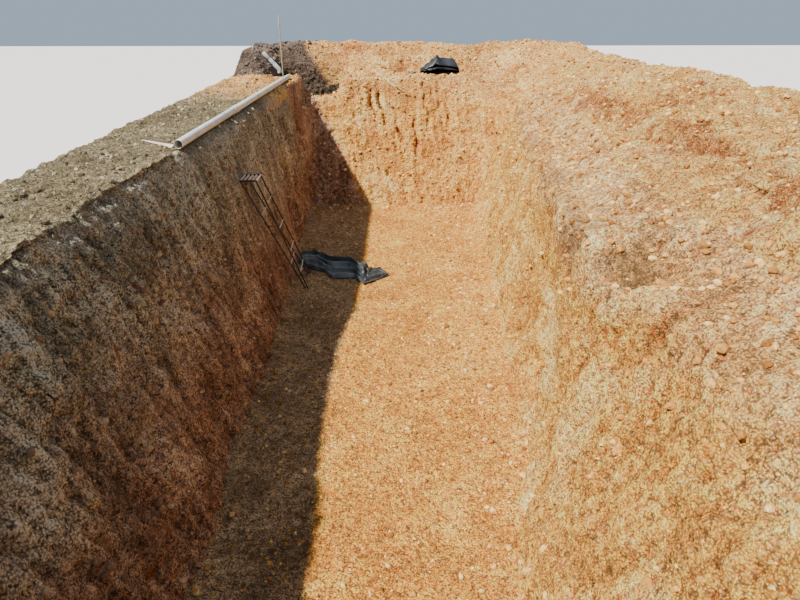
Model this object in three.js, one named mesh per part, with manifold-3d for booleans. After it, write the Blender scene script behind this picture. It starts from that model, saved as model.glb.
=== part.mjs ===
// Earth pit of a bag biogas digester, freshly dug, with the pipes, stand and membrane left in it.
// Millimetres, +Z up. The origin is at the middle of the underside.
// Inside the code a place is [x, s, z]: x across from the pit's long line, s along from the near
// outer face, z up from the underside. The function toModel turns it into model coordinates.

import * as THREE from 'three';
import Module from 'manifold-3d';
import { mergeVertices } from 'three/addons/utils/BufferGeometryUtils.js';

// Driving dimensions of the earth body
const LENGTH = 21000;
const OUTER_LEFT = -4000;
const OUTER_RIGHT = 5600;
const FLOOR_Z = 350;
const SUBSOIL_TOP = 3050;
const GROUND_Z = 3300;
const BENCH_Z = 3000;
const RIDGE_Z = 3930;
const GAP = 0.3;

// Lengthwise stations
const NEAR_RIM = 1500;
const NEAR_BASE = 3000;
const FAR_BASE = 15350;
const FAR_CREST = 16800;
const DAM_BACK = 17200;
const SECOND_PIT_END = 19800;

// Second, smaller pit behind the far wall
const SECOND_LEFT_TOP = -3150;
const SECOND_LEFT_FLOOR = -3050;
const SECOND_RIGHT_TOP = -1150;
const SECOND_RIGHT_FLOOR = -1350;
const SECOND_FLOOR_Z = 1500;

// Saddle cut through the far wall, between the two pits
const SADDLE_LEFT = -2150;
const SADDLE_RIGHT = -1200;
const SADDLE_Z = 2880;

// Cross-sections of the main pit. The left wall is straight from base to rim. The right wall has
// two middle points at the heights below, then its shoulder edge, where the steep part ends.
const LOWER_Z = 1250;
const UPPER_Z = 2150;
const SECTIONS = [
  { s: 0, leftBase: -1700, leftRim: -2680, rightBase: 1000, lower: 1486, upper: 1972, edge: 2377, edgeZ: 2900 },
  { s: 3000, leftBase: -1700, leftRim: -2680, rightBase: 1000, lower: 1486, upper: 1972, edge: 2377, edgeZ: 2900 },
  { s: 3900, leftBase: -1700, leftRim: -2680, rightBase: 1050, lower: 1482, upper: 1914, edge: 2274, edgeZ: 2900 },
  { s: 4900, leftBase: -1660, leftRim: -2700, rightBase: 1380, lower: 1600, upper: 1820, edge: 2020, edgeZ: 2930 },
  { s: 5900, leftBase: -1760, leftRim: -2740, rightBase: 1620, lower: 1760, upper: 1800, edge: 1850, edgeZ: 2930 },
  { s: 7000, leftBase: -1720, leftRim: -2680, rightBase: 1690, lower: 2060, upper: 2080, edge: 1960, edgeZ: 2900 },
  { s: 7900, leftBase: -1690, leftRim: -2580, rightBase: 1760, lower: 2080, upper: 2130, edge: 2120, edgeZ: 2880 },
  { s: 8600, leftBase: -1680, leftRim: -2500, rightBase: 1800, lower: 1930, upper: 2100, edge: 2260, edgeZ: 2850 },
  { s: 9400, leftBase: -1720, leftRim: -2455, rightBase: 1885, lower: 2043, upper: 2227, edge: 2387, edgeZ: 2840 },
  { s: 10050, leftBase: -1720, leftRim: -2455, rightBase: 1954, lower: 2135, upper: 2330, edge: 2490, edgeZ: 2833 },
  { s: 10300, leftBase: -1750, leftRim: -2420, rightBase: 1980, lower: 2170, upper: 2370, edge: 2530, edgeZ: 2830 },
  { s: 12600, leftBase: -1850, leftRim: -2360, rightBase: 2120, lower: 2370, upper: 2620, edge: 2790, edgeZ: 2800 },
  { s: 15350, leftBase: -1850, leftRim: -2300, rightBase: 2170, lower: 2480, upper: 2790, edge: 3000, edgeZ: 2780 },
  { s: LENGTH, leftBase: -1850, leftRim: -2300, rightBase: 2170, lower: 2480, upper: 2790, edge: 3000, edgeZ: 2780 },
];
const STATION_STEP = 1100;
const RIM_ROUND = 90;
const RIM_ROUND_DROP = 70;
const SHOULDER_RUN = 420;

// Spoil banks of dug earth
const SPOIL_TOE_OFFSET = 470;
const SPOIL_TOE = 70;
const SPOIL_RIDGE_X = 5150;
const REAR_TOE_S = 18600;
const REAR_RIDGE_S = 20350;
const MOUND_HEIGHT = 75;
const MOUND_WIDTH = 1250;
const MOUND_LENGTH = 1400;
const SPOIL_STEP = 560;

// Pipes
const PIPE_RADIUS = 57;
const PIPE_WALL = 3.5;
const SOCKET_WALL = 6.5;
const SOCKET_LENGTH = 250;
const PIPE_SIDES = 20;
const PIPE_START = { x: -2659, s: 8210 };
const PIPE_END = { x: -2438, s: 16340 };
const SOCKET_S = 11080;

// Step stand leaning on the left wall
const TUBE_RADIUS = 12.5;
const RUNG_RADIUS = 9;
const PLATFORM_TOP = 2549;
const PLATFORM_WIDTH = 268;
const PLATFORM_NEAR_S = 9520;
const PLATFORM_FAR_S = 9920;
const PLATFORM_BAR = 25;
const SLAT_WIDTH = 22;
const SLAT_COUNT = 5;
const RUNG_HEIGHTS = [2130, 1640, 1170, 710];

const wasm = await Module();
wasm.setup();
const digesterPit = new THREE.Group();

function toModel([x, s, z]) {
  const middle = (OUTER_LEFT + OUTER_RIGHT) / 2;
  return [x - middle, s - LENGTH / 2, z];
}

function mix(a, b, t) {
  return a + (b - a) * t;
}

function limit(value, low, high) {
  return Math.min(high, Math.max(low, value));
}

// Gives the main pit's section at s, between the two stations beside it.
function sectionAt(s) {
  let k = 0;
  while (k + 2 < SECTIONS.length && SECTIONS[k + 1].s <= s) {
    k += 1;
  }
  const before = SECTIONS[k];
  const after = SECTIONS[k + 1];
  const t = limit((s - before.s) / (after.s - before.s), 0, 1);
  const section = {};
  for (const name of Object.keys(before)) {
    section[name] = mix(before[name], after[name], t);
  }
  return section;
}

function leftWallX(s, z) {
  const section = sectionAt(s);
  return mix(section.leftBase, section.leftRim, (z - FLOOR_Z) / (GROUND_Z - FLOOR_Z));
}

// Gives the right wall's line from its base to its shoulder edge, as [x, z] points.
function rightWallLine(s) {
  const section = sectionAt(s);
  return [
    [section.rightBase, FLOOR_Z],
    [section.lower, LOWER_Z],
    [section.upper, UPPER_Z],
    [section.edge, section.edgeZ],
  ];
}

// A slow, fixed unevenness for the crests of the spoil banks.
function uneven(along, height) {
  return height * (0.6 * Math.sin(along / 1330) + 0.4 * Math.sin(along / 590 + 1));
}

// The mounds that tipped earth is left in, all over the spoil banks.
function mounds(x, s) {
  const across = Math.sin((2 * Math.PI * x) / MOUND_WIDTH + 0.8 * Math.sin(s / 1100));
  const along = Math.sin((2 * Math.PI * s) / MOUND_LENGTH + 0.9 * Math.sin(x / 900));
  return MOUND_HEIGHT * across * along;
}

// Stations from one s to another, at most a step apart, with those of the sections between.
function stations(from, to, step = STATION_STEP) {
  const list = [from];
  const between = SECTIONS.map((section) => section.s).filter((s) => s > from && s < to);
  for (const stop of [...between, to]) {
    const start = list[list.length - 1];
    const steps = Math.ceil((stop - start) / step);
    for (let i = 1; i <= steps; i += 1) {
      list.push(mix(start, stop, i / steps));
    }
  }
  return list;
}

// Closed body through loops of points, with a flat cap at each end.
function loft(loops, flatten) {
  const count = loops[0].length;
  const positions = loops.flat().flatMap(toModel);
  const index = [];
  for (let k = 0; k + 1 < loops.length; k += 1) {
    for (let i = 0; i < count; i += 1) {
      const a = k * count + i;
      const b = k * count + ((i + 1) % count);
      index.push(a, b, b + count);
      index.push(a, b + count, a + count);
    }
  }
  const last = (loops.length - 1) * count;
  const firstCap = capTriangles(loops[0].map(flatten));
  const lastCap = capTriangles(loops[loops.length - 1].map(flatten));
  for (const [a, b, c] of firstCap) {
    index.push(a, c, b);
  }
  for (const [a, b, c] of lastCap) {
    index.push(last + a, last + b, last + c);
  }
  const geometry = new THREE.BufferGeometry();
  geometry.setAttribute('position', new THREE.Float32BufferAttribute(positions, 3));
  geometry.setIndex(index);
  return facesOut(geometry);
}

// Triangles over a flat loop, turned the same way as the loop runs.
function capTriangles(points) {
  const contour = points.map(([u, v]) => new THREE.Vector2(u, v));
  const clockwise = THREE.ShapeUtils.isClockWise(contour);
  const triangles = THREE.ShapeUtils.triangulateShape(contour, []);
  return triangles.map(([a, b, c]) => {
    const turn = contour[b].clone().sub(contour[a]).cross(contour[c].clone().sub(contour[a]));
    return turn < 0 === clockwise ? [a, b, c] : [a, c, b];
  });
}

function signedVolume(geometry) {
  const position = geometry.getAttribute('position');
  const index = geometry.getIndex().array;
  const corners = [new THREE.Vector3(), new THREE.Vector3(), new THREE.Vector3()];
  let total = 0;
  for (let i = 0; i < index.length; i += 3) {
    corners.forEach((corner, k) => corner.fromBufferAttribute(position, index[i + k]));
    total += corners[0].dot(corners[1].clone().cross(corners[2])) / 6;
  }
  return total;
}

// Turns every face round when the body comes out inside out.
function facesOut(geometry) {
  if (signedVolume(geometry) < 0) {
    const index = Array.from(geometry.getIndex().array);
    for (let i = 0; i < index.length; i += 3) {
      [index[i + 1], index[i + 2]] = [index[i + 2], index[i + 1]];
    }
    geometry.setIndex(index);
  }
  return geometry;
}

const acrossPlane = ([x, , z]) => [x, z];
const alongPlane = ([, s, z]) => [s, z];
const levelPlane = ([x, s]) => [x, s];

function toSolid(geometry) {
  const bare = geometry.clone();
  bare.deleteAttribute('normal');
  bare.deleteAttribute('uv');
  const merged = mergeVertices(bare, 1e-4);
  return new wasm.Manifold(new wasm.Mesh({
    numProp: 3,
    vertProperties: new Float32Array(merged.getAttribute('position').array),
    triVerts: new Uint32Array(merged.getIndex().array),
  }));
}

function fromSolid(solid) {
  const mesh = solid.getMesh();
  const geometry = new THREE.BufferGeometry();
  geometry.setAttribute('position', new THREE.Float32BufferAttribute(mesh.vertProperties, 3));
  geometry.setIndex(Array.from(mesh.triVerts));
  return geometry;
}

function joined(geometries) {
  const solids = geometries.map(toSolid);
  return fromSolid(solids.reduce((whole, piece) => whole.add(piece)));
}

function cutFrom(body, cutter) {
  return fromSolid(toSolid(body).subtract(toSolid(cutter)));
}

// Materials, one made for each piece
const FINISHES = {
  floorEarth: { color: 0xb9825a, roughness: 0.97, metalness: 0 },
  leftEarth: { color: 0x7a4a33, roughness: 0.98, metalness: 0 },
  rightEarth: { color: 0xc08d55, roughness: 0.97, metalness: 0 },
  farEarth: { color: 0xb56b42, roughness: 0.97, metalness: 0 },
  topsoil: { color: 0x4f4034, roughness: 1, metalness: 0 },
  spoilEarth: { color: 0xc4956a, roughness: 0.98, metalness: 0 },
  pipePlastic: { color: 0xc3c5c0, roughness: 0.45, metalness: 0 },
  standSteel: { color: 0x4a3a36, roughness: 0.6, metalness: 0.6 },
  slatSteel: { color: 0xb9a79c, roughness: 0.5, metalness: 0.6 },
  membrane: { color: 0x24262b, roughness: 0.4, metalness: 0 },
  wood: { color: 0xa8926e, roughness: 0.8, metalness: 0 },
};

function addPiece(name, geometry, finish) {
  const bare = geometry.clone();
  bare.deleteAttribute('normal');
  bare.deleteAttribute('uv');
  const whole = mergeVertices(bare, 1e-4);
  whole.computeVertexNormals();
  const mesh = new THREE.Mesh(whole, new THREE.MeshStandardMaterial(FINISHES[finish]));
  mesh.name = name;
  digesterPit.add(mesh);
}

// Earth body whose section across the pit is given for each s.
function runThrough(list, sectionOf) {
  const loops = list.map((s) => sectionOf(s).map(([x, z]) => [x, s, z]));
  return loft(loops, acrossPlane);
}

function runAlong(from, to, sectionOf, step) {
  return runThrough(stations(from + GAP / 2, to - GAP / 2, step), sectionOf);
}

// Earth body whose section along the pit is given for each x.
function runAcross(list, sectionOf) {
  const loops = list.map((x) => sectionOf(x).map(([s, z]) => [x, s, z]));
  return loft(loops, alongPlane);
}

// Pit floor
function floorSection(s) {
  const section = sectionAt(s);
  const left = section.leftBase + GAP / 2;
  const right = section.rightBase - GAP / 2;
  return [[left, 0], [right, 0], [right, FLOOR_Z], [left, FLOOR_Z]];
}

addPiece('pit_floor_near', runAlong(NEAR_BASE, 7000, floorSection), 'floorEarth');
addPiece('pit_floor_middle', runAlong(7000, 11500, floorSection), 'floorEarth');
addPiece('pit_floor_far', runAlong(11500, FAR_BASE, floorSection), 'floorEarth');

// Left wall, with the topsoil as a layer of its own
function leftWallSection(s) {
  const base = sectionAt(s).leftBase - GAP / 2;
  return [
    [OUTER_LEFT, 0],
    [base, 0],
    [base, FLOOR_Z],
    [leftWallX(s, SUBSOIL_TOP) - GAP / 2, SUBSOIL_TOP],
    [OUTER_LEFT, SUBSOIL_TOP],
  ];
}

function topsoilSection(s) {
  const rim = leftWallX(s, GROUND_Z);
  return [
    [OUTER_LEFT, SUBSOIL_TOP + GAP],
    [leftWallX(s, SUBSOIL_TOP), SUBSOIL_TOP + GAP],
    [rim, GROUND_Z - RIM_ROUND_DROP],
    [rim - RIM_ROUND, GROUND_Z],
    [OUTER_LEFT, GROUND_Z],
  ];
}

addPiece('left_wall_near', runAlong(0, 5900, leftWallSection), 'leftEarth');
addPiece('left_wall_middle', runAlong(5900, 10900, leftWallSection), 'leftEarth');
addPiece('left_wall_far', runAlong(10900, FAR_BASE, leftWallSection), 'leftEarth');
addPiece('left_topsoil_near', runAlong(0, 7900, topsoilSection), 'topsoil');
addPiece('left_topsoil_far', runAlong(7900, FAR_BASE, topsoilSection), 'topsoil');

// Right wall, with its rounded shoulder and the bench behind it
function rightWallSection(s) {
  const line = rightWallLine(s);
  const [edgeX] = line[3];
  line[0][0] += GAP / 2;
  return [
    [line[0][0], 0],
    ...line,
    [edgeX + SHOULDER_RUN, BENCH_Z],
    [OUTER_RIGHT, BENCH_Z],
    [OUTER_RIGHT, 0],
  ];
}

addPiece('right_wall_near', runAlong(0, 5900, rightWallSection), 'rightEarth');
addPiece('right_wall_undercut', runAlong(5900, 8600, rightWallSection), 'rightEarth');
addPiece('right_wall_middle', runAlong(8600, 12600, rightWallSection), 'rightEarth');
addPiece('right_wall_far', runAlong(12600, FAR_BASE, rightWallSection), 'rightEarth');

// Near wall: fills the pit between its side walls, and slopes down to the floor
function nearWallSection(s) {
  const section = sectionAt(s);
  const rise = limit((NEAR_BASE - s) / (NEAR_BASE - NEAR_RIM), 0.03, 1);
  const leftTop = mix(FLOOR_Z, GROUND_Z - RIM_ROUND_DROP, rise);
  const rightTop = mix(FLOOR_Z, section.edgeZ, rise);
  const rightX = mix(section.rightBase, section.edge, rise);
  return [
    [section.leftBase + GAP / 2, 0],
    [section.rightBase - GAP / 2, 0],
    [section.rightBase - GAP / 2, FLOOR_Z],
    [rightX - 2 * GAP, rightTop],
    [leftWallX(s, leftTop) + GAP, leftTop],
    [section.leftBase + GAP / 2, FLOOR_Z],
  ];
}

addPiece('near_wall', runAlong(0, NEAR_BASE, nearWallSection), 'farEarth');

// Far wall: its face leans back from the floor to the crest, and turns into both side walls
function frontHeight(x) {
  const section = sectionAt(FAR_BASE);
  if (x <= section.leftRim) {
    return GROUND_Z;
  }
  if (x <= section.leftBase) {
    return mix(GROUND_Z, FLOOR_Z, (x - section.leftRim) / (section.leftBase - section.leftRim));
  }
  if (x <= section.rightBase) {
    return FLOOR_Z;
  }
  if (x <= section.edge) {
    return mix(FLOOR_Z, section.edgeZ, (x - section.rightBase) / (section.edge - section.rightBase));
  }
  return mix(section.edgeZ, BENCH_Z, limit((x - section.edge) / SHOULDER_RUN, 0, 1));
}

const CREST_LINE = [
  { x: OUTER_LEFT, s: FAR_CREST, z: GROUND_Z },
  { x: 600, s: FAR_CREST, z: GROUND_Z },
  { x: 1400, s: 16600, z: 3140 },
  { x: 2170, s: 16250, z: 2930 },
  { x: 3000, s: 15700, z: 2860 },
  { x: 3420, s: 15450, z: BENCH_Z },
  { x: OUTER_RIGHT, s: 15450, z: BENCH_Z },
];

function crestAt(x) {
  const k = CREST_LINE.findIndex((point, i) => i > 0 && x <= point.x);
  const before = CREST_LINE[k - 1];
  const after = CREST_LINE[k];
  const t = (x - before.x) / (after.x - before.x);
  return { s: mix(before.s, after.s, t), z: mix(before.z, after.z, t) };
}

// Level of the ground behind the far wall: it drops to the bench on the right.
function rearLevel(x) {
  return mix(GROUND_Z, BENCH_Z, limit((x - 2200) / 800, 0, 1));
}

function farWallSection(x) {
  const crest = crestAt(x);
  return [
    [FAR_BASE + GAP / 2, 0],
    [FAR_BASE + GAP / 2, frontHeight(x)],
    [crest.s, crest.z],
    [DAM_BACK - GAP / 2, rearLevel(x)],
    [DAM_BACK - GAP / 2, 0],
  ];
}

function saddleSection() {
  const slope = (FAR_CREST - FAR_BASE) / (GROUND_Z - FLOOR_Z);
  return [
    [FAR_BASE + GAP / 2, 0],
    [FAR_BASE + GAP / 2, FLOOR_Z],
    [FAR_BASE + slope * (SADDLE_Z - FLOOR_Z), SADDLE_Z],
    [DAM_BACK - GAP / 2, SADDLE_Z],
    [DAM_BACK - GAP / 2, 0],
  ];
}

const STAKE = { x: -2660, s: 17000, radius: 15, buried: 300, rise: 1450 };

function upright(x, s, radius, bottom, top, sides) {
  return loft([levelRing(x, s, bottom, radius, sides), levelRing(x, s, top, radius, sides)], levelPlane);
}

function levelRing(x, s, z, radius, sides) {
  const ring = [];
  for (let i = 0; i < sides; i += 1) {
    const turn = (2 * Math.PI * i) / sides;
    ring.push([x + radius * Math.cos(turn), s + radius * Math.sin(turn), z]);
  }
  return ring;
}

const leftBaseFar = sectionAt(FAR_BASE).leftBase;
const saddleStart = SADDLE_LEFT + GAP / 2;
const postXs = [OUTER_LEFT, sectionAt(FAR_BASE).leftRim, SADDLE_LEFT - GAP / 2];
const stakeHole = upright(STAKE.x, STAKE.s, STAKE.radius + GAP, GROUND_Z - STAKE.buried, GROUND_Z + 50, 8);
addPiece('far_wall_left', cutFrom(runAcross(postXs, farWallSection), stakeHole), 'farEarth');

// Between the saddle's left side and the left wall's base, the face starts on the left wall's end.
function saddleLeftSection(x) {
  const section = saddleSection();
  section[1][1] = frontHeight(x);
  return section;
}

const saddleXs = [saddleStart, leftBaseFar, SADDLE_RIGHT - GAP / 2];
addPiece('far_wall_saddle', runAcross(saddleXs, saddleLeftSection), 'farEarth');
const middleXs = [SADDLE_RIGHT + GAP / 2, 0, 600, 1400 - GAP / 2];
addPiece('far_wall_middle', runAcross(middleXs, farWallSection), 'farEarth');
const cornerXs = [1400 + GAP / 2, 2170, 2600, 3000, 3420, OUTER_RIGHT];
addPiece('far_wall_right', runAcross(cornerXs, farWallSection), 'farEarth');

// Second pit and the ground round it
function secondLeftBankSection(s) {
  const rise = limit((s - DAM_BACK) / (SECOND_BANK_FULL - DAM_BACK), 0, 1);
  return [
    [OUTER_LEFT, 0],
    [SECOND_LEFT_FLOOR - GAP / 2, 0],
    [SECOND_LEFT_FLOOR - GAP / 2, SECOND_FLOOR_Z],
    [SECOND_LEFT_TOP, GROUND_Z],
    [mix(-3250, SECOND_BANK_TOP.x, rise), mix(GROUND_Z + 10, SECOND_BANK_TOP.z, rise)],
    [OUTER_LEFT, mix(GROUND_Z + 10, 3900, rise)],
  ];
}

const SECOND_BANK_TOP = { x: -3620, z: 3820 };
const SECOND_BANK_FULL = 18700;

function secondFloorSection() {
  const left = SECOND_LEFT_FLOOR + GAP / 2;
  const right = SECOND_RIGHT_FLOOR - GAP / 2;
  return [[left, 0], [right, 0], [right, SECOND_FLOOR_Z], [left, SECOND_FLOOR_Z]];
}

function rearGroundSection() {
  return [
    [SECOND_RIGHT_FLOOR + GAP / 2, 0],
    [SECOND_RIGHT_FLOOR + GAP / 2, SECOND_FLOOR_Z],
    [SECOND_RIGHT_TOP, GROUND_Z],
    [2200, GROUND_Z],
    [3000, BENCH_Z],
    [OUTER_RIGHT, BENCH_Z],
    [OUTER_RIGHT, 0],
  ];
}

function rearBankSection() {
  return [
    [OUTER_LEFT, 0],
    [OUTER_LEFT, GROUND_Z],
    [2200, GROUND_Z],
    [3000, BENCH_Z],
    [OUTER_RIGHT, BENCH_Z],
    [OUTER_RIGHT, 0],
  ];
}

const leftBankStations = [DAM_BACK + GAP / 2, 17950, SECOND_BANK_FULL, SECOND_PIT_END - GAP / 2];
addPiece('second_pit_left_bank', runThrough(leftBankStations, secondLeftBankSection), 'leftEarth');
addPiece('second_pit_floor', runAlong(DAM_BACK, SECOND_PIT_END, secondFloorSection), 'leftEarth');
addPiece('second_pit_right_bank', runAlong(DAM_BACK, SECOND_PIT_END, rearGroundSection), 'farEarth');
addPiece('second_pit_far_bank', runAlong(SECOND_PIT_END, LENGTH, rearBankSection), 'farEarth');

// Line of a spoil bank's top from its toe to its ridge, as [place, height] points. The function
// moundsAt gives the mounds' height at a place. They fade out towards the toe.
const SPOIL_SHARES = [0.17, 0.34, 0.51, 0.68, 0.84];

function spoilTop([toe, low], [ridge, high], moundsAt) {
  return SPOIL_SHARES.map((t) => {
    const place = mix(toe, ridge, t);
    return [place, mix(low, high, t) + 60 * Math.sin(Math.PI * t) + moundsAt(place) * limit(t * 2, 0, 1)];
  });
}

// Spoil bank along the right side, lying on the bench
function rightSpoilSection(s) {
  const toe = sectionAt(s).edge + SPOIL_TOE_OFFSET;
  const ridge = RIDGE_Z + uneven(s, 90) + mounds(SPOIL_RIDGE_X, s);
  const bottom = BENCH_Z + GAP;
  return [
    [toe, bottom],
    [toe, bottom + SPOIL_TOE],
    ...spoilTop([toe, bottom + SPOIL_TOE], [SPOIL_RIDGE_X, ridge], (x) => mounds(x, s)),
    [SPOIL_RIDGE_X, ridge],
    [OUTER_RIGHT, ridge - 110],
    [OUTER_RIGHT, bottom],
  ];
}

addPiece('right_spoil_near', runAlong(0, 5400, rightSpoilSection, SPOIL_STEP), 'spoilEarth');
addPiece('right_spoil_middle', runAlong(5400, 11300, rightSpoilSection, SPOIL_STEP), 'spoilEarth');
addPiece('right_spoil_far', runAlong(11300, DAM_BACK, rightSpoilSection, SPOIL_STEP), 'spoilEarth');

// Spoil bank behind the second pit, and across the rear
function rearSpoilSection(x) {
  const ridge = RIDGE_Z + uneven(x + 3000, 70) + mounds(x, REAR_RIDGE_S);
  const bottom = rearLevel(x) + GAP;
  const low = bottom + SPOIL_TOE;
  return [
    [REAR_TOE_S, bottom],
    [REAR_TOE_S, low],
    ...spoilTop([REAR_TOE_S, low], [REAR_RIDGE_S, ridge], (s) => mounds(x, s)),
    [REAR_RIDGE_S, ridge],
    [LENGTH, ridge - 110],
    [LENGTH, bottom],
  ];
}

function rearSpoilOverPitSection(x) {
  const ridge = RIDGE_Z + uneven(x + 3000, 70) + mounds(x, REAR_RIDGE_S);
  const bottom = GROUND_Z + GAP;
  const face = SECOND_PIT_END + GAP;
  return [
    [face, bottom],
    [face + 60, ridge - 110],
    [REAR_RIDGE_S, ridge],
    [LENGTH, ridge - 110],
    [LENGTH, bottom],
  ];
}

function cornerSpoilSection(s) {
  const t = limit((s - DAM_BACK) / (REAR_TOE_S - DAM_BACK), 0, 1);
  const toe = mix(sectionAt(s).edge + SPOIL_TOE_OFFSET, 3010, t);
  const ridge = RIDGE_Z + uneven(s, 90) + mounds(SPOIL_RIDGE_X, s);
  const bottom = BENCH_Z + GAP;
  const rise = limit((s - REAR_TOE_S) / (REAR_RIDGE_S - REAR_TOE_S), 0, 1);
  const toeTop = mix(bottom + SPOIL_TOE, ridge, rise);
  return [
    [toe, bottom],
    [toe, toeTop],
    ...spoilTop([toe, toeTop], [SPOIL_RIDGE_X, ridge], (x) => mounds(x, s)),
    [SPOIL_RIDGE_X, ridge],
    [OUTER_RIGHT, ridge - 110],
    [OUTER_RIGHT, bottom],
  ];
}

const overPitXs = [OUTER_LEFT, -3500, -3000, -2550, -2100, -1600, SECOND_RIGHT_TOP];
const rearXs = [SECOND_RIGHT_TOP + GAP, -650, -200, 300, 800, 1200, 1600, 2200, 2600, 3000];
addPiece('rear_spoil_left', runAcross(overPitXs, rearSpoilOverPitSection), 'spoilEarth');
addPiece('rear_spoil_middle', runAcross(rearXs, rearSpoilSection), 'spoilEarth');
addPiece('rear_spoil_right', runAlong(DAM_BACK, LENGTH, cornerSpoilSection, SPOIL_STEP), 'spoilEarth');

// Straight hollow pipe between two points of its axis
function hollowPipe(start, end, outer, wall) {
  const from = new THREE.Vector3(...toModel(start));
  const to = new THREE.Vector3(...toModel(end));
  const length = from.distanceTo(to);
  const profile = [
    new THREE.Vector2(outer - wall, 0),
    new THREE.Vector2(outer, 0),
    new THREE.Vector2(outer, length),
    new THREE.Vector2(outer - wall, length),
    new THREE.Vector2(outer - wall, 0),
  ];
  const geometry = new THREE.LatheGeometry(profile, PIPE_SIDES);
  geometry.deleteAttribute('normal');
  geometry.deleteAttribute('uv');
  const merged = mergeVertices(geometry, 1e-3);
  const turn = new THREE.Quaternion();
  turn.setFromUnitVectors(new THREE.Vector3(0, 1, 0), to.clone().sub(from).normalize());
  merged.applyQuaternion(turn);
  merged.translate(from.x, from.y, from.z);
  return facesOut(merged);
}

// Inlet pipe on the left rim: two lengths, joined in a socket that rests on the ground
const pipeZ = GROUND_Z + GAP + PIPE_RADIUS + GAP + SOCKET_WALL;

function pipePoint(s) {
  const t = (s - PIPE_START.s) / (PIPE_END.s - PIPE_START.s);
  return [mix(PIPE_START.x, PIPE_END.x, t), s, pipeZ];
}

const socketRadius = PIPE_RADIUS + GAP + SOCKET_WALL;
const pipeJoint = SOCKET_S;
addPiece('inlet_pipe_near', hollowPipe(pipePoint(PIPE_START.s), pipePoint(pipeJoint - GAP / 2), PIPE_RADIUS, PIPE_WALL),
  'pipePlastic');
addPiece('inlet_pipe_far', hollowPipe(pipePoint(pipeJoint + GAP / 2), pipePoint(PIPE_END.s), PIPE_RADIUS, PIPE_WALL),
  'pipePlastic');
addPiece('inlet_pipe_socket',
  hollowPipe(pipePoint(SOCKET_S - SOCKET_LENGTH / 2), pipePoint(SOCKET_S + SOCKET_LENGTH / 2), socketRadius, SOCKET_WALL),
  'pipePlastic');

// Split pipe offcut on the ground behind the near mouth: a shallow trough that tapers to a point
const OFFCUT_WIDE = { x: -2790, s: 8290 };
const OFFCUT_NARROW = { x: -3340, s: 8800 };

function offcutLoop(t) {
  const x = mix(OFFCUT_WIDE.x, OFFCUT_NARROW.x, t);
  const s = mix(OFFCUT_WIDE.s, OFFCUT_NARROW.s, t);
  const run = Math.hypot(OFFCUT_NARROW.x - OFFCUT_WIDE.x, OFFCUT_NARROW.s - OFFCUT_WIDE.s);
  const sideX = -(OFFCUT_NARROW.s - OFFCUT_WIDE.s) / run;
  const sideS = (OFFCUT_NARROW.x - OFFCUT_WIDE.x) / run;
  const half = mix(52, 14, t);
  const lip = mix(34, 5, t);
  const bottom = GROUND_Z + GAP;
  const under = [[-1, lip], [-0.6, lip * 0.3], [0, 0], [0.6, lip * 0.3], [1, lip]];
  const over = under.map(([across, up]) => [across * 0.94, up + PIPE_WALL + 1]).reverse();
  return [...under, ...over].map(([across, up]) => [x + sideX * half * across, s + sideS * half * across, bottom + up]);
}

const offcutPlane = ([x, s, z]) => [(s - x) * Math.SQRT1_2, z];
addPiece('pipe_offcut', loft([0, 0.25, 0.5, 0.75, 1].map(offcutLoop), offcutPlane), 'pipePlastic');

// Drain pipe down the second pit's left bank: two pieces, the lower with an elbow over the edge
const DRAIN_S = 18940;
const bankRun = new THREE.Vector2(SECOND_BANK_TOP.x - SECOND_LEFT_TOP, SECOND_BANK_TOP.z - GROUND_Z).normalize();
const bankUp = new THREE.Vector2(bankRun.y, -bankRun.x);

function drainPoint(t, lift) {
  const x = SECOND_LEFT_TOP + bankRun.x * t + bankUp.x * lift;
  const z = GROUND_Z + bankRun.y * t + bankUp.y * lift;
  return [x, DRAIN_S, z];
}

const sleeveBore = (PIPE_RADIUS + GAP) / Math.cos(Math.PI / PIPE_SIDES);
const drainLift = 2 * GAP + sleeveBore + SOCKET_WALL;
addPiece('drain_pipe_upper', hollowPipe(drainPoint(345, GAP + PIPE_RADIUS),
  drainPoint(575, GAP + PIPE_RADIUS), PIPE_RADIUS, PIPE_WALL), 'pipePlastic');
addPiece('drain_pipe_lower', hollowPipe(drainPoint(30, drainLift), drainPoint(330, drainLift), PIPE_RADIUS, PIPE_WALL),
  'pipePlastic');

// Elbow: a sleeve over the lower pipe's end, then a bend that turns down into the pit
function elbowAxis() {
  const points = [drainPoint(150, drainLift), drainPoint(0, drainLift), drainPoint(-25, drainLift)];
  const slope = Math.atan2(-bankRun.y, -bankRun.x);
  const bendRadius = 110;
  const centreX = points[2][0] + bendRadius * Math.sin(slope);
  const centreZ = points[2][2] - bendRadius * Math.cos(slope);
  for (let i = 1; i <= 4; i += 1) {
    const heading = slope + (-Math.PI / 2 - slope) * (i / 4);
    points.push([centreX - bendRadius * Math.sin(heading), DRAIN_S, centreZ + bendRadius * Math.cos(heading)]);
  }
  const end = points[points.length - 1];
  points.push([end[0], DRAIN_S, end[2] - 40]);
  return points;
}

function bentRod(axis, radius, stretch) {
  const loops = axis.map((point, k) => {
    const before = axis[Math.max(0, k - 1)];
    const after = axis[Math.min(axis.length - 1, k + 1)];
    const alongX = after[0] - before[0];
    const alongZ = after[2] - before[2];
    const length = Math.hypot(alongX, alongZ);
    const shift = k === 0 ? -stretch : (k === axis.length - 1 ? stretch : 0);
    const ring = [];
    for (let i = 0; i < PIPE_SIDES; i += 1) {
      const turn = (2 * Math.PI * i) / PIPE_SIDES;
      const side = radius * Math.cos(turn);
      const up = radius * Math.sin(turn);
      ring.push([
        point[0] + (shift * alongX - up * alongZ) / length,
        point[1] + side,
        point[2] + (shift * alongZ + up * alongX) / length,
      ]);
    }
    return ring;
  });
  return loft(loops, ringPlane);
}

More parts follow.
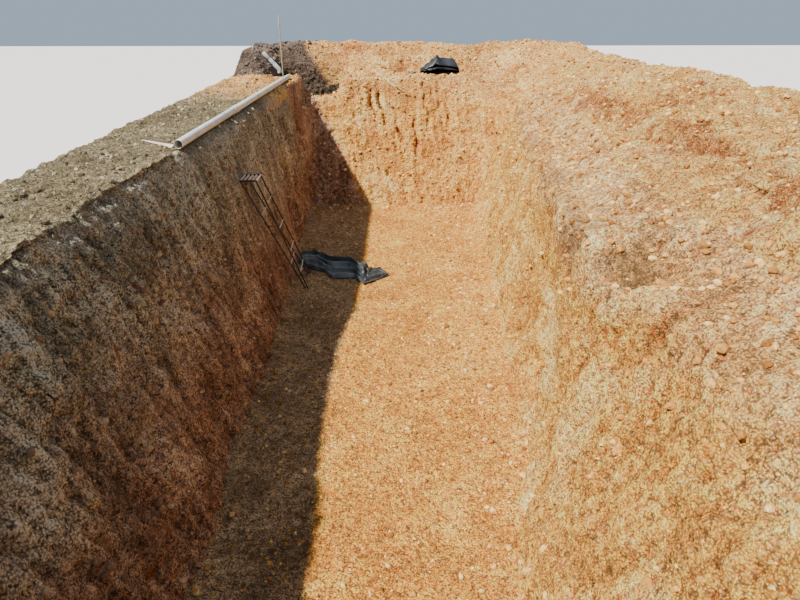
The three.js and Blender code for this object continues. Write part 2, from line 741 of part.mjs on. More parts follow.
const ringPlane = ([x, s, z]) => [s, z - x];
const elbowOuter = bentRod(elbowAxis(), sleeveBore + SOCKET_WALL, 0);
const elbowInner = bentRod(elbowAxis(), sleeveBore, 5);
addPiece('drain_pipe_elbow', cutFrom(elbowOuter, elbowInner), 'pipePlastic');

// Step stand: two frames under a slatted platform, leaning on the left wall
const platformLeft = leftWallX(PLATFORM_FAR_S, PLATFORM_TOP - PLATFORM_BAR) + GAP;
const platformRight = platformLeft + PLATFORM_WIDTH;
const underPlatform = PLATFORM_TOP - PLATFORM_BAR - GAP;
const standFoot = FLOOR_Z + GAP;
const FRONT_NEAR_FOOT = { x: -1456, s: 10331 };
const FRONT_FAR_FOOT = { x: -1490, s: 11000 };
const FOOT_SPACING = 45;

function leg(foot, headX, headS, radius) {
  const low = levelRing(foot.x, foot.s, standFoot, radius, 8);
  const high = levelRing(headX, headS, underPlatform, radius, 8);
  return loft([low, high], levelPlane);
}

// Level bar between two legs at one height
function crossbar(nearFoot, farFoot, headX, z, radius) {
  const t = (z - standFoot) / (underPlatform - standFoot);
  const near = [mix(nearFoot.x, headX, t), mix(nearFoot.s, PLATFORM_NEAR_S + TUBE_RADIUS, t)];
  const far = [mix(farFoot.x, headX, t), mix(farFoot.s, PLATFORM_FAR_S - TUBE_RADIUS, t)];
  const loops = [near, far].map(([x, s]) => {
    const ring = [];
    for (let i = 0; i < 8; i += 1) {
      const turn = (2 * Math.PI * i) / 8;
      ring.push([x + radius * Math.cos(turn), s, z + radius * Math.sin(turn)]);
    }
    return ring;
  });
  return loft(loops, acrossPlane);
}

function standFrame(nearFoot, farFoot, headX, heights, radius) {
  const legs = [
    leg(nearFoot, headX, PLATFORM_NEAR_S + TUBE_RADIUS, TUBE_RADIUS),
    leg(farFoot, headX, PLATFORM_FAR_S - TUBE_RADIUS, TUBE_RADIUS),
  ];
  return joined([...legs, ...heights.map((z) => crossbar(nearFoot, farFoot, headX, z, radius))]);
}

const rearNearFoot = { x: FRONT_NEAR_FOOT.x - FOOT_SPACING, s: FRONT_NEAR_FOOT.s };
const rearFarFoot = { x: FRONT_FAR_FOOT.x - FOOT_SPACING, s: FRONT_FAR_FOOT.s };
const frontHead = platformRight - TUBE_RADIUS;
const rearHead = leftWallX(PLATFORM_FAR_S, underPlatform) + TUBE_RADIUS + 4;
addPiece('stand_front_frame', standFrame(FRONT_NEAR_FOOT, FRONT_FAR_FOOT, frontHead, RUNG_HEIGHTS, RUNG_RADIUS),
  'slatSteel');
addPiece('stand_rear_frame', standFrame(rearNearFoot, rearFarFoot, rearHead, [1900, 900], RUNG_RADIUS), 'standSteel');

function box(x0, x1, s0, s1, z0, z1) {
  const ring = (z) => [[x0, s0, z], [x1, s0, z], [x1, s1, z], [x0, s1, z]];
  return loft([ring(z0), ring(z1)], levelPlane);
}

function platform() {
  const low = PLATFORM_TOP - PLATFORM_BAR;
  const parts = [
    box(platformLeft, platformRight, PLATFORM_NEAR_S, PLATFORM_NEAR_S + PLATFORM_BAR, low, PLATFORM_TOP),
    box(platformLeft, platformRight, PLATFORM_FAR_S - PLATFORM_BAR, PLATFORM_FAR_S, low, PLATFORM_TOP),
  ];
  for (let i = 0; i < SLAT_COUNT; i += 1) {
    const x = mix(platformLeft, platformRight - SLAT_WIDTH, i / (SLAT_COUNT - 1));
    parts.push(box(x, x + SLAT_WIDTH, PLATFORM_NEAR_S + 5, PLATFORM_FAR_S - 5, low + 6, PLATFORM_TOP - 1));
  }
  return joined(parts);
}

addPiece('stand_platform', platform(), 'slatSteel');

// Bolt that ties the two near legs, level, part way up
const BOLT_Z = 1700;

function standBolt() {
  const t = (BOLT_Z - standFoot) / (underPlatform - standFoot);
  const frontX = mix(FRONT_NEAR_FOOT.x, frontHead, t);
  const rearX = mix(rearNearFoot.x, rearHead, t);
  const s = mix(FRONT_NEAR_FOOT.s, PLATFORM_NEAR_S + TUBE_RADIUS, t);
  const reach = TUBE_RADIUS + 10 * GAP;
  const loops = [rearX + reach, frontX - reach].map((x) => {
    const ring = [];
    for (let i = 0; i < 8; i += 1) {
      const turn = (2 * Math.PI * i) / 8;
      ring.push([x, s + 7 * Math.cos(turn), BOLT_Z + 7 * Math.sin(turn)]);
    }
    return ring;
  });
  return loft(loops, alongPlane);
}

addPiece('stand_tie_bolt', standBolt(), 'standSteel');

// Membrane sheet left crumpled on the pit floor, as a low solid with its outline
const SHEET_OUTLINE = [
  [-1800, 11470], [-1740, 11880], [-1480, 12020], [-1220, 11800], [-760, 11700], [-570, 11320], [-350, 11100],
  [-130, 11200], [20, 10830], [-210, 10550], [-440, 10370], [-610, 10740], [-1030, 10690], [-1210, 10980], [-1560, 11180],
];
const SHEET_LAYERS = [{ rise: 0, keep: 1 }, { rise: 60, keep: 0.97 }, { rise: 190, keep: 0.6 }];

function sheetSolid() {
  const centreX = SHEET_OUTLINE.reduce((sum, [x]) => sum + x, 0) / SHEET_OUTLINE.length;
  const centreS = SHEET_OUTLINE.reduce((sum, [, s]) => sum + s, 0) / SHEET_OUTLINE.length;
  const loops = SHEET_LAYERS.map(({ rise, keep }) => SHEET_OUTLINE.map(([x, s]) => [
    mix(centreX, x, keep),
    mix(centreS, s, keep),
    FLOOR_Z + GAP + rise,
  ]));
  return loft(loops, levelPlane);
}

addPiece('membrane_sheet', sheetSolid(), 'membrane');

// Membrane bundle and a scrap of it on the far rim
function heap(x, s, bottom, layers) {
  const loops = layers.map(({ rise, halfWidth, halfDepth }) => {
    const ring = [];
    for (let i = 0; i < 14; i += 1) {
      const turn = (2 * Math.PI * i) / 14;
      ring.push([x + halfWidth * Math.cos(turn), s + halfDepth * Math.sin(turn), bottom + rise]);
    }
    return ring;
  });
  return loft(loops, levelPlane);
}

addPiece('membrane_bundle', heap(1480, 18000, GROUND_Z + GAP, [
  { rise: 0, halfWidth: 530, halfDepth: 300 },
  { rise: 170, halfWidth: 560, halfDepth: 330 },
  { rise: 340, halfWidth: 430, halfDepth: 230 },
  { rise: 470, halfWidth: 170, halfDepth: 90 },
]), 'membrane');
addPiece('membrane_scrap', heap(740, 18050, GROUND_Z + GAP, [
  { rise: 0, halfWidth: 150, halfDepth: 90 },
  { rise: 35, halfWidth: 120, halfDepth: 70 },
]), 'membrane');

// Marker stake beside the saddle, set in a hole, and a stick lying over the far crest
addPiece('marker_stake',
  upright(STAKE.x, STAKE.s, STAKE.radius, GROUND_Z - STAKE.buried + GAP, GROUND_Z + STAKE.rise, 8), 'wood');

const STICK_RADIUS = 13;

function stickPoint(x, t) {
  const lean = new THREE.Vector2(FAR_CREST - FAR_BASE, GROUND_Z - FLOOR_Z);
  const apothem = STICK_RADIUS * Math.cos(Math.PI / 8);
  const out = new THREE.Vector2(-lean.y, lean.x).normalize().multiplyScalar(apothem + 2 * GAP);
  return [x, FAR_BASE + lean.x * t + out.x, FLOOR_Z + lean.y * t + out.y];
}

function stick() {
  const ends = [stickPoint(-330, 1.06), stickPoint(590, 0.847)];
  const loops = ends.map(([x, s, z]) => {
    const ring = [];
    for (let i = 0; i < 8; i += 1) {
      const turn = (2 * Math.PI * i) / 8;
      ring.push([x, s + STICK_RADIUS * Math.cos(turn), z + STICK_RADIUS * Math.sin(turn)]);
    }
    return ring;
  });
  return loft(loops, alongPlane);
}

addPiece('wooden_stick', stick(), 'wood');

export default digesterPit;
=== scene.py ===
"""Earth pit of a bag biogas digester: the raw clay, the pipes, the step stand and the black membrane.

Places inside this file are pit places (x across, s along from the near end, z up), in metres, as in
the part's source. The function at() turns one into a place of the model.
"""

import contextlib
import functools
import math
import random

import bpy
import numpy as np
from mathutils import Matrix, Vector
from mathutils import noise as field
from mathutils.bvhtree import BVHTree


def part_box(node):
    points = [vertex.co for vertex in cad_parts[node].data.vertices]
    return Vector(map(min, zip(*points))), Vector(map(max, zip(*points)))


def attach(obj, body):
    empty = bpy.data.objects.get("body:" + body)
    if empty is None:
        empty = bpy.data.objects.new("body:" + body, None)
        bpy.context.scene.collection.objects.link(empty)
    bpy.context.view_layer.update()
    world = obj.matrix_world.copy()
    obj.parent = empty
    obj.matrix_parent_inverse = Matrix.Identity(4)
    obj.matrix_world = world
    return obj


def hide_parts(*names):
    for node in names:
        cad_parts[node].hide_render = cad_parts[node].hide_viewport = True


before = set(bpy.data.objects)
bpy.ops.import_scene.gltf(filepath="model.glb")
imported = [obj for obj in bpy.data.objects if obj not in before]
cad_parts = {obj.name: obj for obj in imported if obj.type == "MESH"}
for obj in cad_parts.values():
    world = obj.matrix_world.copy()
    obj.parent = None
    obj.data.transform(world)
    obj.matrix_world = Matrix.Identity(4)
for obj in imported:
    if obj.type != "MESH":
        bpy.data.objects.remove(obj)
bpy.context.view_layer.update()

# Pit places of the model's origin, and the outer faces of the block of earth
MIDDLE_X = 0.8
MIDDLE_S = 10.5
OUTER_LEFT = -4.0
OUTER_RIGHT = 5.6
LENGTH = 21.0
FLOOR_Z = 0.35
GROUND_Z = 3.3
SUBSOIL_TOP = 3.05
FAR_BASE = 15.35

# Pipes, as in the part's source
PIPE_RADIUS = 0.057
PIPE_WALL = 0.0035
PIPE_START = (-2.659, 8.21)
PIPE_END = (-2.438, 16.34)
SOCKET_S = 11.08
SOCKET_LENGTH = 0.25
DRAIN_S = 18.94

# Edge length of the small faces that the earth is shaped with
SETTLING_GRAIN = 0.1
GROUND_GRAIN = 0.0375
FLOOR_GRAIN = 0.036


def at(x, s, z=0.0):
    return Vector((x - MIDDLE_X, s - MIDDLE_S, z))


# Handling of pieces


def pick(piece):
    """Selects one piece and makes it active, with nothing else selected."""
    bpy.ops.object.select_all(action="DESELECT")
    piece.select_set(True)
    bpy.context.view_layer.objects.active = piece
    return piece


@contextlib.contextmanager
def all_in_edit_mode():
    """Edits the active piece's mesh, with all of it selected."""
    bpy.ops.object.mode_set(mode="EDIT")
    bpy.ops.mesh.select_all(action="SELECT")
    yield
    bpy.ops.object.mode_set(mode="OBJECT")


def finish_modifier(piece, kind, **settings):
    """Adds a modifier, sets it up and applies it."""
    pick(piece)
    bpy.ops.object.modifier_add(type=kind)
    modifier = piece.modifiers[-1]
    for key, value in settings.items():
        setattr(modifier, key, value)
    bpy.ops.object.modifier_apply(modifier=modifier.name)


def drop(piece):
    mesh = piece.data
    bpy.data.objects.remove(piece)
    if mesh is not None and mesh.users == 0:
        bpy.data.meshes.remove(mesh)


def merged_copy(name, by=0.0):
    """A copy of a CAD node with its triangles merged into one surface, grown by a little."""
    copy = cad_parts[name].copy()
    copy.data = copy.data.copy()
    bpy.context.scene.collection.objects.link(copy)
    copy.parent = None
    for key in list(copy.keys()):
        del copy[key]
    pick(copy)
    with all_in_edit_mode():
        bpy.ops.mesh.remove_doubles(threshold=0.00005)
        if by:
            bpy.ops.transform.shrink_fatten(value=by, use_even_offset=True)
    return copy


# How far a node grows before it is joined to the next
OVERLAP = 0.0006
SPOIL_OVERLAP = 0.004


def fused(label, names):
    """One closed body from copies of CAD nodes, each grown just enough to overlap its neighbours."""
    copies = [merged_copy(name, SPOIL_OVERLAP if "spoil" in name else OVERLAP) for name in names]
    body, others = copies[0], copies[1:]
    heap = bpy.data.collections.new(label + "_fusing")
    bpy.context.scene.collection.children.link(heap)
    for other in others:
        heap.objects.link(other)
    finish_modifier(body, "BOOLEAN", operation="UNION", operand_type="COLLECTION", collection=heap,
                    solver="EXACT")
    for other in others:
        drop(other)
    bpy.data.collections.remove(heap)
    body.name = label
    body.data.name = label
    return body


# Corners beyond any face of the part
FAR_LOW = Vector((-40.0, -40.0, -40.0))
FAR_HIGH = Vector((40.0, 40.0, 40.0))


def block(low, high):
    """A straight block between two corners."""
    bpy.ops.object.select_all(action="DESELECT")
    bpy.ops.mesh.primitive_cube_add(size=1, location=(low + high) / 2)
    piece = bpy.context.object
    piece.scale = high - low
    bpy.ops.object.transform_apply(location=True, scale=True)
    return piece


def eased(piece, width):
    """Rounds a piece's sharp edges."""
    finish_modifier(piece, "BEVEL", width=width, segments=2, limit_method="ANGLE",
                    angle_limit=math.radians(60))


def box_cut(piece, low, high, operation="INTERSECT"):
    """Keeps what lies inside a box, or takes it away, and closes the cuts."""
    cutter = block(low, high)
    finish_modifier(piece, "BOOLEAN", operation=operation, operand_type="OBJECT", object=cutter,
                    solver="FAST")
    drop(cutter)


def split(piece, label, axis, value):
    """Parts a piece at a plane. The part beyond it becomes a new piece."""
    beyond = piece.copy()
    beyond.data = piece.data.copy()
    beyond.name = label
    bpy.context.scene.collection.objects.link(beyond)
    low = FAR_LOW.copy()
    low[axis] = value
    box_cut(beyond, low, FAR_HIGH)
    box_cut(piece, low, FAR_HIGH, "DIFFERENCE")
    return beyond


def reach_out(piece, by=0.15):
    """Moves the outer faces and the underside outwards, so that trimming cuts through even earth."""
    points = places_of(piece)
    low, high = at(OUTER_LEFT, 0, 0), at(OUTER_RIGHT, LENGTH, 0)
    for axis in (0, 1):
        points[points[:, axis] < low[axis] + 0.01, axis] = low[axis] - by
        points[points[:, axis] > high[axis] - 0.01, axis] = high[axis] + by
    points[points[:, 2] < 0.01, 2] = -by
    moved_to(piece, points)


def trimmed(piece):
    """Trims earth at the plumb outer faces and the level underside of the whole block."""
    box_cut(piece, at(OUTER_LEFT, 0, 0), at(OUTER_RIGHT, LENGTH, FAR_HIGH.z))


def moved_to(piece, points):
    piece.data.vertices.foreach_set("co", points.ravel())
    piece.data.update()


def places_of(piece):
    points = np.zeros(len(piece.data.vertices) * 3, np.float32)
    piece.data.vertices.foreach_get("co", points)
    return points.reshape(-1, 3)


def normals_of(piece):
    normals = np.zeros(len(piece.data.vertices) * 3, np.float32)
    piece.data.vertex_normals.foreach_get("vector", normals)
    return normals.reshape(-1, 3)


# Weathering: masks, textures and displacement


def rise(low, high, value):
    """Goes smoothly from 0 at low to 1 at high."""
    t = np.clip((value - low) / (high - low), 0, 1)
    return t * t * (3 - 2 * t)


def between(low, high, value, soft=0.1):
    return rise(low - soft, low, value) * (1 - rise(high, high + soft, value))


MASK_STEPS = 20


def dome(away):
    """1 at 0, falling smoothly to 0 at 1 and beyond, on both sides."""
    return np.clip(1 - away ** 2, 0, 1) ** 2


def mask(piece, name, weights):
    """A vertex group with these weights, in whole steps."""
    group = piece.vertex_groups.new(name=name)
    steps = np.round(np.clip(weights, 0, 1) * MASK_STEPS).astype(int)
    for step in range(1, MASK_STEPS + 1):
        members = np.nonzero(steps == step)[0]
        if len(members):
            group.add(members.tolist(), step / MASK_STEPS, "REPLACE")
    return name


def noise(name, kind, size, **settings):
    texture = bpy.data.textures.new(name, kind)
    texture.noise_scale = size
    for key, value in settings.items():
        setattr(texture, key, value)
    return texture


def stretch(name, scale, turn):
    """An unseen helper whose axes stretch a texture. It is taken away when the earth is done."""
    bpy.ops.object.empty_add(type="PLAIN_AXES")
    helper = bpy.context.object
    helper.name = name
    helper.scale = scale
    helper.rotation_euler = [math.radians(a) for a in turn]
    bpy.context.view_layer.update()
    return helper


def weather(piece, texture, depth, direction, group, along=None, middle=0.5):
    """Pushes the surface in and out by a texture."""
    finish_modifier(piece, "DISPLACE", texture=texture, strength=depth, direction=direction, mid_level=middle,
                    vertex_group=group, texture_coords="OBJECT" if along else "LOCAL",
                    texture_coords_object=along)


LUMPS = noise("lumps", "CLOUDS", 0.55, noise_depth=2)
SWELLS = noise("swells", "CLOUDS", 1.3, noise_depth=2)
KNOBS = noise("knobs", "CLOUDS", 0.24, noise_depth=2)
CRUMBS = noise("crumbs", "CLOUDS", 0.07, noise_depth=3)
CLODS = noise("clods", "VORONOI", 0.22, distance_metric="DISTANCE")
SMALL_CLODS = noise("small_clods", "VORONOI", 0.10, distance_metric="DISTANCE")
TOOTH_MARKS = noise("tooth_marks", "CLOUDS", 0.9, noise_depth=3, noise_type="HARD_NOISE")
BITE_MARKS = noise("bite_marks", "CLOUDS", 0.8, noise_depth=2, noise_type="HARD_NOISE")

side_marks = stretch("side_marks", (2.0, 0.17, 2.2), turn=(14, 0, 0))
side_bites = stretch("side_bites", (2.0, 0.55, 1.5), turn=(20, 0, 0))
far_marks = stretch("far_marks", (0.2, 2.0, 2.4), turn=(0, -9, 0))

RIGHT_SPOIL_NODES = ["right_spoil_near", "right_spoil_middle", "right_spoil_far"]
REAR_SPOIL_NODES = ["rear_spoil_left", "rear_spoil_middle", "rear_spoil_right"]
FLOOR_NODES = ["pit_floor_near", "pit_floor_middle", "pit_floor_far"]
GROUND_NODES = [
    "left_wall_near", "left_wall_middle", "left_wall_far", "left_topsoil_near", "left_topsoil_far",
    "right_wall_near", "right_wall_undercut", "right_wall_middle", "right_wall_far", "near_wall",
    "far_wall_left", "far_wall_saddle", "far_wall_middle", "far_wall_right",
    "second_pit_left_bank", "second_pit_floor", "second_pit_right_bank", "second_pit_far_bank",
    *RIGHT_SPOIL_NODES, *REAR_SPOIL_NODES,
]


def pit_places(piece):
    """The pit places x, s, z of a piece's points."""
    points = places_of(piece)
    return points[:, 0] + MIDDLE_X, points[:, 1] + MIDDLE_S, points[:, 2]


def soften(body):
    """Rounds the banks' toes, shoulders and crests, as loose earth settles."""
    finish_modifier(body, "REMESH", mode="VOXEL", voxel_size=SETTLING_GRAIN)
    x, s, z = pit_places(body)
    inside = between(OUTER_LEFT, OUTER_RIGHT, x) * between(0, LENGTH, s)
    loose = rise(2.2, 2.7, x) * rise(2.6, 2.8, z) * inside
    behind = rise(17.3, 17.7, s) * rise(2.7, 3.0, z) * inside
    mask(body, "settled", np.clip(loose + behind, 0, 1))
    mask(body, "worn", rise(0.5, 0.8, z) * inside)
    finish_modifier(body, "SMOOTH", factor=0.6, iterations=60, vertex_group="settled")
    finish_modifier(body, "SMOOTH", factor=0.5, iterations=3, vertex_group="worn")
    body.vertex_groups.clear()


# Where fittings lie or stand, so the earth stays calm there: two ends in plan, and a reach
FITTINGS = [
    (PIPE_START, PIPE_END, 0.24),  # inlet pipe
    ((-2.79, 8.29), (-3.34, 8.80), 0.20),  # offcut
    ((-3.7, DRAIN_S), (-3.0, DRAIN_S), 0.28),  # drain pipe
    ((-2.66, 17.0), (-2.66, 17.0), 0.16),  # stake
    ((1.2, 18.0), (1.75, 18.0), 0.42),  # bundle
    ((0.74, 18.05), (0.74, 18.05), 0.24),  # scrap
    ((-2.3, 9.9), (-1.5, 10.75), 0.6),  # stand
    ((-1.85, 11.4), (-1.85, 11.9), 0.4),  # sheet's end
    ((-0.33, 16.95), (0.59, 16.58), 0.22),  # stick
    ((-2.1, 17.0), (-1.3, 17.0), 0.3),  # saddle
]

# Places shaped one by one: centre, reach, and how far its middle moves
MOVED_EARTH = [
    ((-2.37, 16.6, 3.30), 0.34, (0, 0, 0.08)),
    ((-1.72, 17.0, 2.88), 0.36, (0, 0, -0.10)),
    ((2.2, 5.2, 3.0), 0.60, (0, 0, -0.24)),
    ((2.62, 5.35, 3.15), 0.26, (-0.04, 0, 0.09)),
    ((2.45, 5.85, 3.15), 0.28, (0, -0.04, 0.08)),
    ((2.35, 9.3, 2.6), 0.34, (0.24, 0, 0)),
    ((2.05, 6.9, 1.7), 0.50, (0.16, 0, 0)),
    ((1.87, 6.6, 0.9), 0.60, (0.20, 0, 0)),
    ((2.15, 4.9, 1.9), 0.45, (0.14, 0, 0)),
    ((2.6, 6.2, 3.05), 0.45, (0.0, 0, -0.10)),
    ((3.2, 7.4, 3.5), 0.55, (0.0, 0, -0.12)),
    ((3.65, 17.9, 3.35), 0.55, (0, 0, -0.22)),
    ((3.3, 14.2, 3.4), 0.50, (0, 0, -0.14)),
    ((0.55, 18.5, 3.35), 0.55, (0, 0, -0.26)),
    ((0.0, 17.75, 3.3), 0.45, (0, 0, -0.20)),
    ((-1.15, 18.1, 3.3), 0.25, (0.05, 0, -0.16)),
    ((1.48, 18.0, 3.3), 0.9, (0, 0, -0.05)),
    ((0.74, 18.05, 3.3), 0.3, (0, 0, -0.03)),
    ((-3.3, 16.4, 3.3), 0.6, (0, 0, 0.09)),
]

# Height from which ledges and furrows change the ground
LEVEL_FROM = 2.9

# Ledges where the spoil steps up to its right: two ends in plan, and the step's height
LEDGES = [((3.30, 4.4), (3.60, 7.6), 0.17), ((3.60, 7.6), (3.75, 12.9), 0.15)]

# Furrows and welts on level ground: two ends in plan, half the width, and how far the middle moves
FURROWS = [((-0.75, 17.20), (0.22, 17.02), 0.10, -0.10), ((-0.70, 17.36), (0.10, 17.22), 0.10, 0.06),
           ((2.75, 9.0), (3.05, 12.6), 0.22, -0.08)]

# Gouges down the far wall: two ends as x and z, half the width, and the depth
GOUGES = [((-0.42, 2.98), (-0.30, 2.40), 0.08, 0.09), ((-0.20, 2.88), (-0.02, 2.25), 0.07, 0.10),
          ((0.20, 2.55), (0.38, 1.85), 0.08, 0.09), ((0.98, 2.85), (1.10, 2.20), 0.07, 0.08),
          ((0.72, 2.30), (0.80, 1.50), 0.07, 0.07), ((1.55, 2.70), (1.62, 2.00), 0.08, 0.07)]


def calm_share(x, s):
    """1 on open ground, and a tenth of that beside the fittings."""
    share = np.ones_like(x)
    for (x0, s0), (x1, s1), reach in FITTINGS:
        run = (x1 - x0) ** 2 + (s1 - s0) ** 2
        t = np.clip(((x - x0) * (x1 - x0) + (s - s0) * (s1 - s0)) / run, 0, 1) if run else 0
        away = np.hypot(x - x0 - t * (x1 - x0), s - s0 - t * (s1 - s0))
        share = np.minimum(share, 0.1 + 0.9 * rise(0.6 * reach, 1.6 * reach, away))
    return share


def from_line(x, s, start, end):
    """How far along a line in plan each place lies, as a share, and how far to its right."""
    (x0, s0), (x1, s1) = start, end
    length = math.hypot(x1 - x0, s1 - s0)
    along, across = (x1 - x0) / length, (s1 - s0) / length
    share = ((x - x0) * along + (s - s0) * across) / length
    return share, (x - x0) * across - (s - s0) * along


def move_earth(body):
    """Raises lumps, ledges and welts, and sinks hollows, furrows and gouges."""
    points = places_of(body)
    for centre, reach, shift in MOVED_EARTH:
        away = np.linalg.norm(points - np.array(at(*centre)), axis=1) / reach
        points += np.outer(dome(away), shift).astype(np.float32)
    x, s, z = points[:, 0] + MIDDLE_X, points[:, 1] + MIDDLE_S, points[:, 2]
    for start, end, tall in LEDGES:
        share, right = from_line(x, s, start, end)
        wavy = right + 0.20 * np.sin(1.7 * s) + 0.10 * np.sin(4.3 * s + 1)
        step = rise(-0.09, 0.09, wavy) * (1 - rise(0.35, 1.1, wavy)) * between(0, 1, share, 0.06)
        points[:, 2] += tall * step * (z > LEVEL_FROM) * (0.75 + 0.25 * np.sin(4.1 * s))
    for start, end, half, shift in FURROWS:
        share, right = from_line(x, s, start, end)
        wavy = (right + 0.05 * np.sin(9 * s + 6 * x)) / half
        points[:, 2] += shift * dome(wavy) * between(0, 1, share, 0.1) * (z > LEVEL_FROM)
    for start, end, half, depth in GOUGES:
        share, right = from_line(x, z, start, end)
        wavy = (right + 0.03 * np.sin(11 * z)) / half
        on_face = between(FAR_BASE - 0.05, 16.9, s)
        points[:, 1] += depth * dome(wavy) * between(0, 1, share, 0.15) * on_face
    moved_to(body, points)


def make_ground():
    """All the dug ground but the floor, as one body of small faces, weathered."""
    ground = fused("ground", GROUND_NODES)
    reach_out(ground)
    soften(ground)
    finish_modifier(ground, "REMESH", mode="VOXEL", voxel_size=GROUND_GRAIN)
    move_earth(ground)
    normals = normals_of(ground)
    x, s, z = pit_places(ground)
    across, along, up = normals[:, 0], normals[:, 1], normals[:, 2]
    inside = z > 0.2
    left = rise(0.3, 0.75, across) * (x < -1.3) * (s < 15.5) * inside
    right = rise(0.25, 0.7, -across) * (x > 0.8) * (x < 3.4) * (s < 15.9) * inside
    far = rise(0.2, 0.6, -along) * between(15.2, 16.95, s) * inside
    near = rise(0.15, 0.5, along) * between(1.3, 3.1, s) * inside
    second = (np.maximum(rise(0.4, 0.8, np.abs(across)) * between(-3.4, -1.0, x),
                         rise(0.4, 0.8, np.abs(along)) * between(-3.2, -1.1, x))
              * between(17.15, 19.95, s) * (z > 1.4) * (z < 3.4))
    open_top = rise(0.35, 0.7, up) * (z > 1.0)
    spoil = open_top * rise(3.02, 3.3, z) * np.maximum(rise(2.4, 3.0, x), rise(18.2, 18.8, s))
    bare = np.clip(open_top + left + right + far + near + second, 0, 1)
    calm = calm_share(x, s)
    names = {}
    for name, weights in (("left", left), ("right", right), ("far", far), ("near", near), ("second", second),
                          ("top", open_top), ("spoil", spoil), ("bare", bare)):
        names[name] = mask(ground, name, weights * calm)

    for texture, depth, direction, group, along_axes in (
            (SWELLS, 0.14, "X", "left", None),
            (BITE_MARKS, 0.12, "X", "left", side_bites),
            (TOOTH_MARKS, 0.10, "X", "left", side_marks),
            (SWELLS, 0.20, "X", "right", None),
            (LUMPS, 0.16, "X", "right", None),
            (TOOTH_MARKS, 0.08, "X", "right", side_marks),
            (LUMPS, 0.12, "Y", "far", None),
            (TOOTH_MARKS, 0.09, "Y", "far", far_marks),
            (LUMPS, 0.16, "Y", "near", None),
            (TOOTH_MARKS, 0.06, "Y", "near", far_marks),
            (LUMPS, 0.08, "X", "second", None),
            (LUMPS, 0.08, "Z", "top", None),
            (LUMPS, 0.10, "Z", "spoil", None)):
        weather(ground, texture, depth, direction, names[group], along=along_axes)
    weather(ground, CLODS, 0.07, "NORMAL", "spoil", middle=0.4)
    weather(ground, KNOBS, 0.07, "NORMAL", "bare")
    weather(ground, SMALL_CLODS, 0.04, "NORMAL", "bare", middle=0.35)
    weather(ground, CRUMBS, 0.045, "NORMAL", "bare")
    trimmed(ground)
    return ground


def surface_of(piece, faces):
    """A search tree over some faces of a piece."""
    return BVHTree.FromPolygons([v.co[:] for v in piece.data.vertices], [face.vertices[:] for face in faces])


def heap_at_walls(floor, walls, reach=0.30, tall=0.07):
    """Crumbled earth along the foot of the walls, so the floor runs up to them softly."""
    trees = [surface_of(wall, wall.data.polygons) for wall in walls]
    lift = 0.12
    for vertex in floor.data.vertices:
        if vertex.co.z < FLOOR_Z - lift:
            continue
        raised = vertex.co + Vector((0, 0, lift))
        found = [tree.find_nearest(raised, reach) for tree in trees]
        near = min((distance for place, _, _, distance in found if place is not None), default=reach)
        ragged = 0.55 + 0.9 * field.noise(vertex.co * 3.1)
        vertex.co.z += tall * (1 - near / reach) ** 1.5 * max(0, ragged)
    floor.data.update()


FLOOR_MIDDLE = (0.05, 9.17)
SHEET_MIDDLE = (-0.9, 11.2)
# Height below which the floor's rounded underside is cut off and drawn down straight
FLOOR_CUT_Z = 0.15


def make_floor():
    """The pit floor, grown a hand's width into the walls all round, and lightly uneven but at the sheet."""
    floor = fused("pit_floor_earth", FLOOR_NODES)
    pick(floor)
    with all_in_edit_mode():
        bpy.ops.transform.resize(value=(1.12, 1.03, 1), center_override=at(*FLOOR_MIDDLE))
    finish_modifier(floor, "REMESH", mode="VOXEL", voxel_size=FLOOR_GRAIN)
    normals = normals_of(floor)
    x, s, z = pit_places(floor)
    away = np.hypot((x - SHEET_MIDDLE[0]) / 1.1, s - SHEET_MIDDLE[1])
    top = mask(floor, "top", rise(0.6, 0.95, normals[:, 2]) * (0.25 + 0.75 * rise(0.8, 1.5, away)))
    weather(floor, SWELLS, 0.06, "Z", top)
    weather(floor, LUMPS, 0.03, "Z", top)
    weather(floor, SMALL_CLODS, 0.016, "Z", top, middle=0.35)
    weather(floor, CRUMBS, 0.02, "Z", top)
    box_cut(floor, Vector((FAR_LOW.x, FAR_LOW.y, FLOOR_CUT_Z)), FAR_HIGH)
    points = places_of(floor)
    points[points[:, 2] < FLOOR_CUT_Z + 0.001, 2] = 0
    moved_to(floor, points)
    return floor


# Finishes


def tint(code):
    """Turns a screen colour such as 'c08d55' into the linear one that a shader takes."""
    parts = [int(code[i:i + 2], 16) / 255 for i in (0, 2, 4)]
    return [c / 12.92 if c <= 0.04045 else ((c + 0.055) / 1.055) ** 2.4 for c in parts] + [1.0]


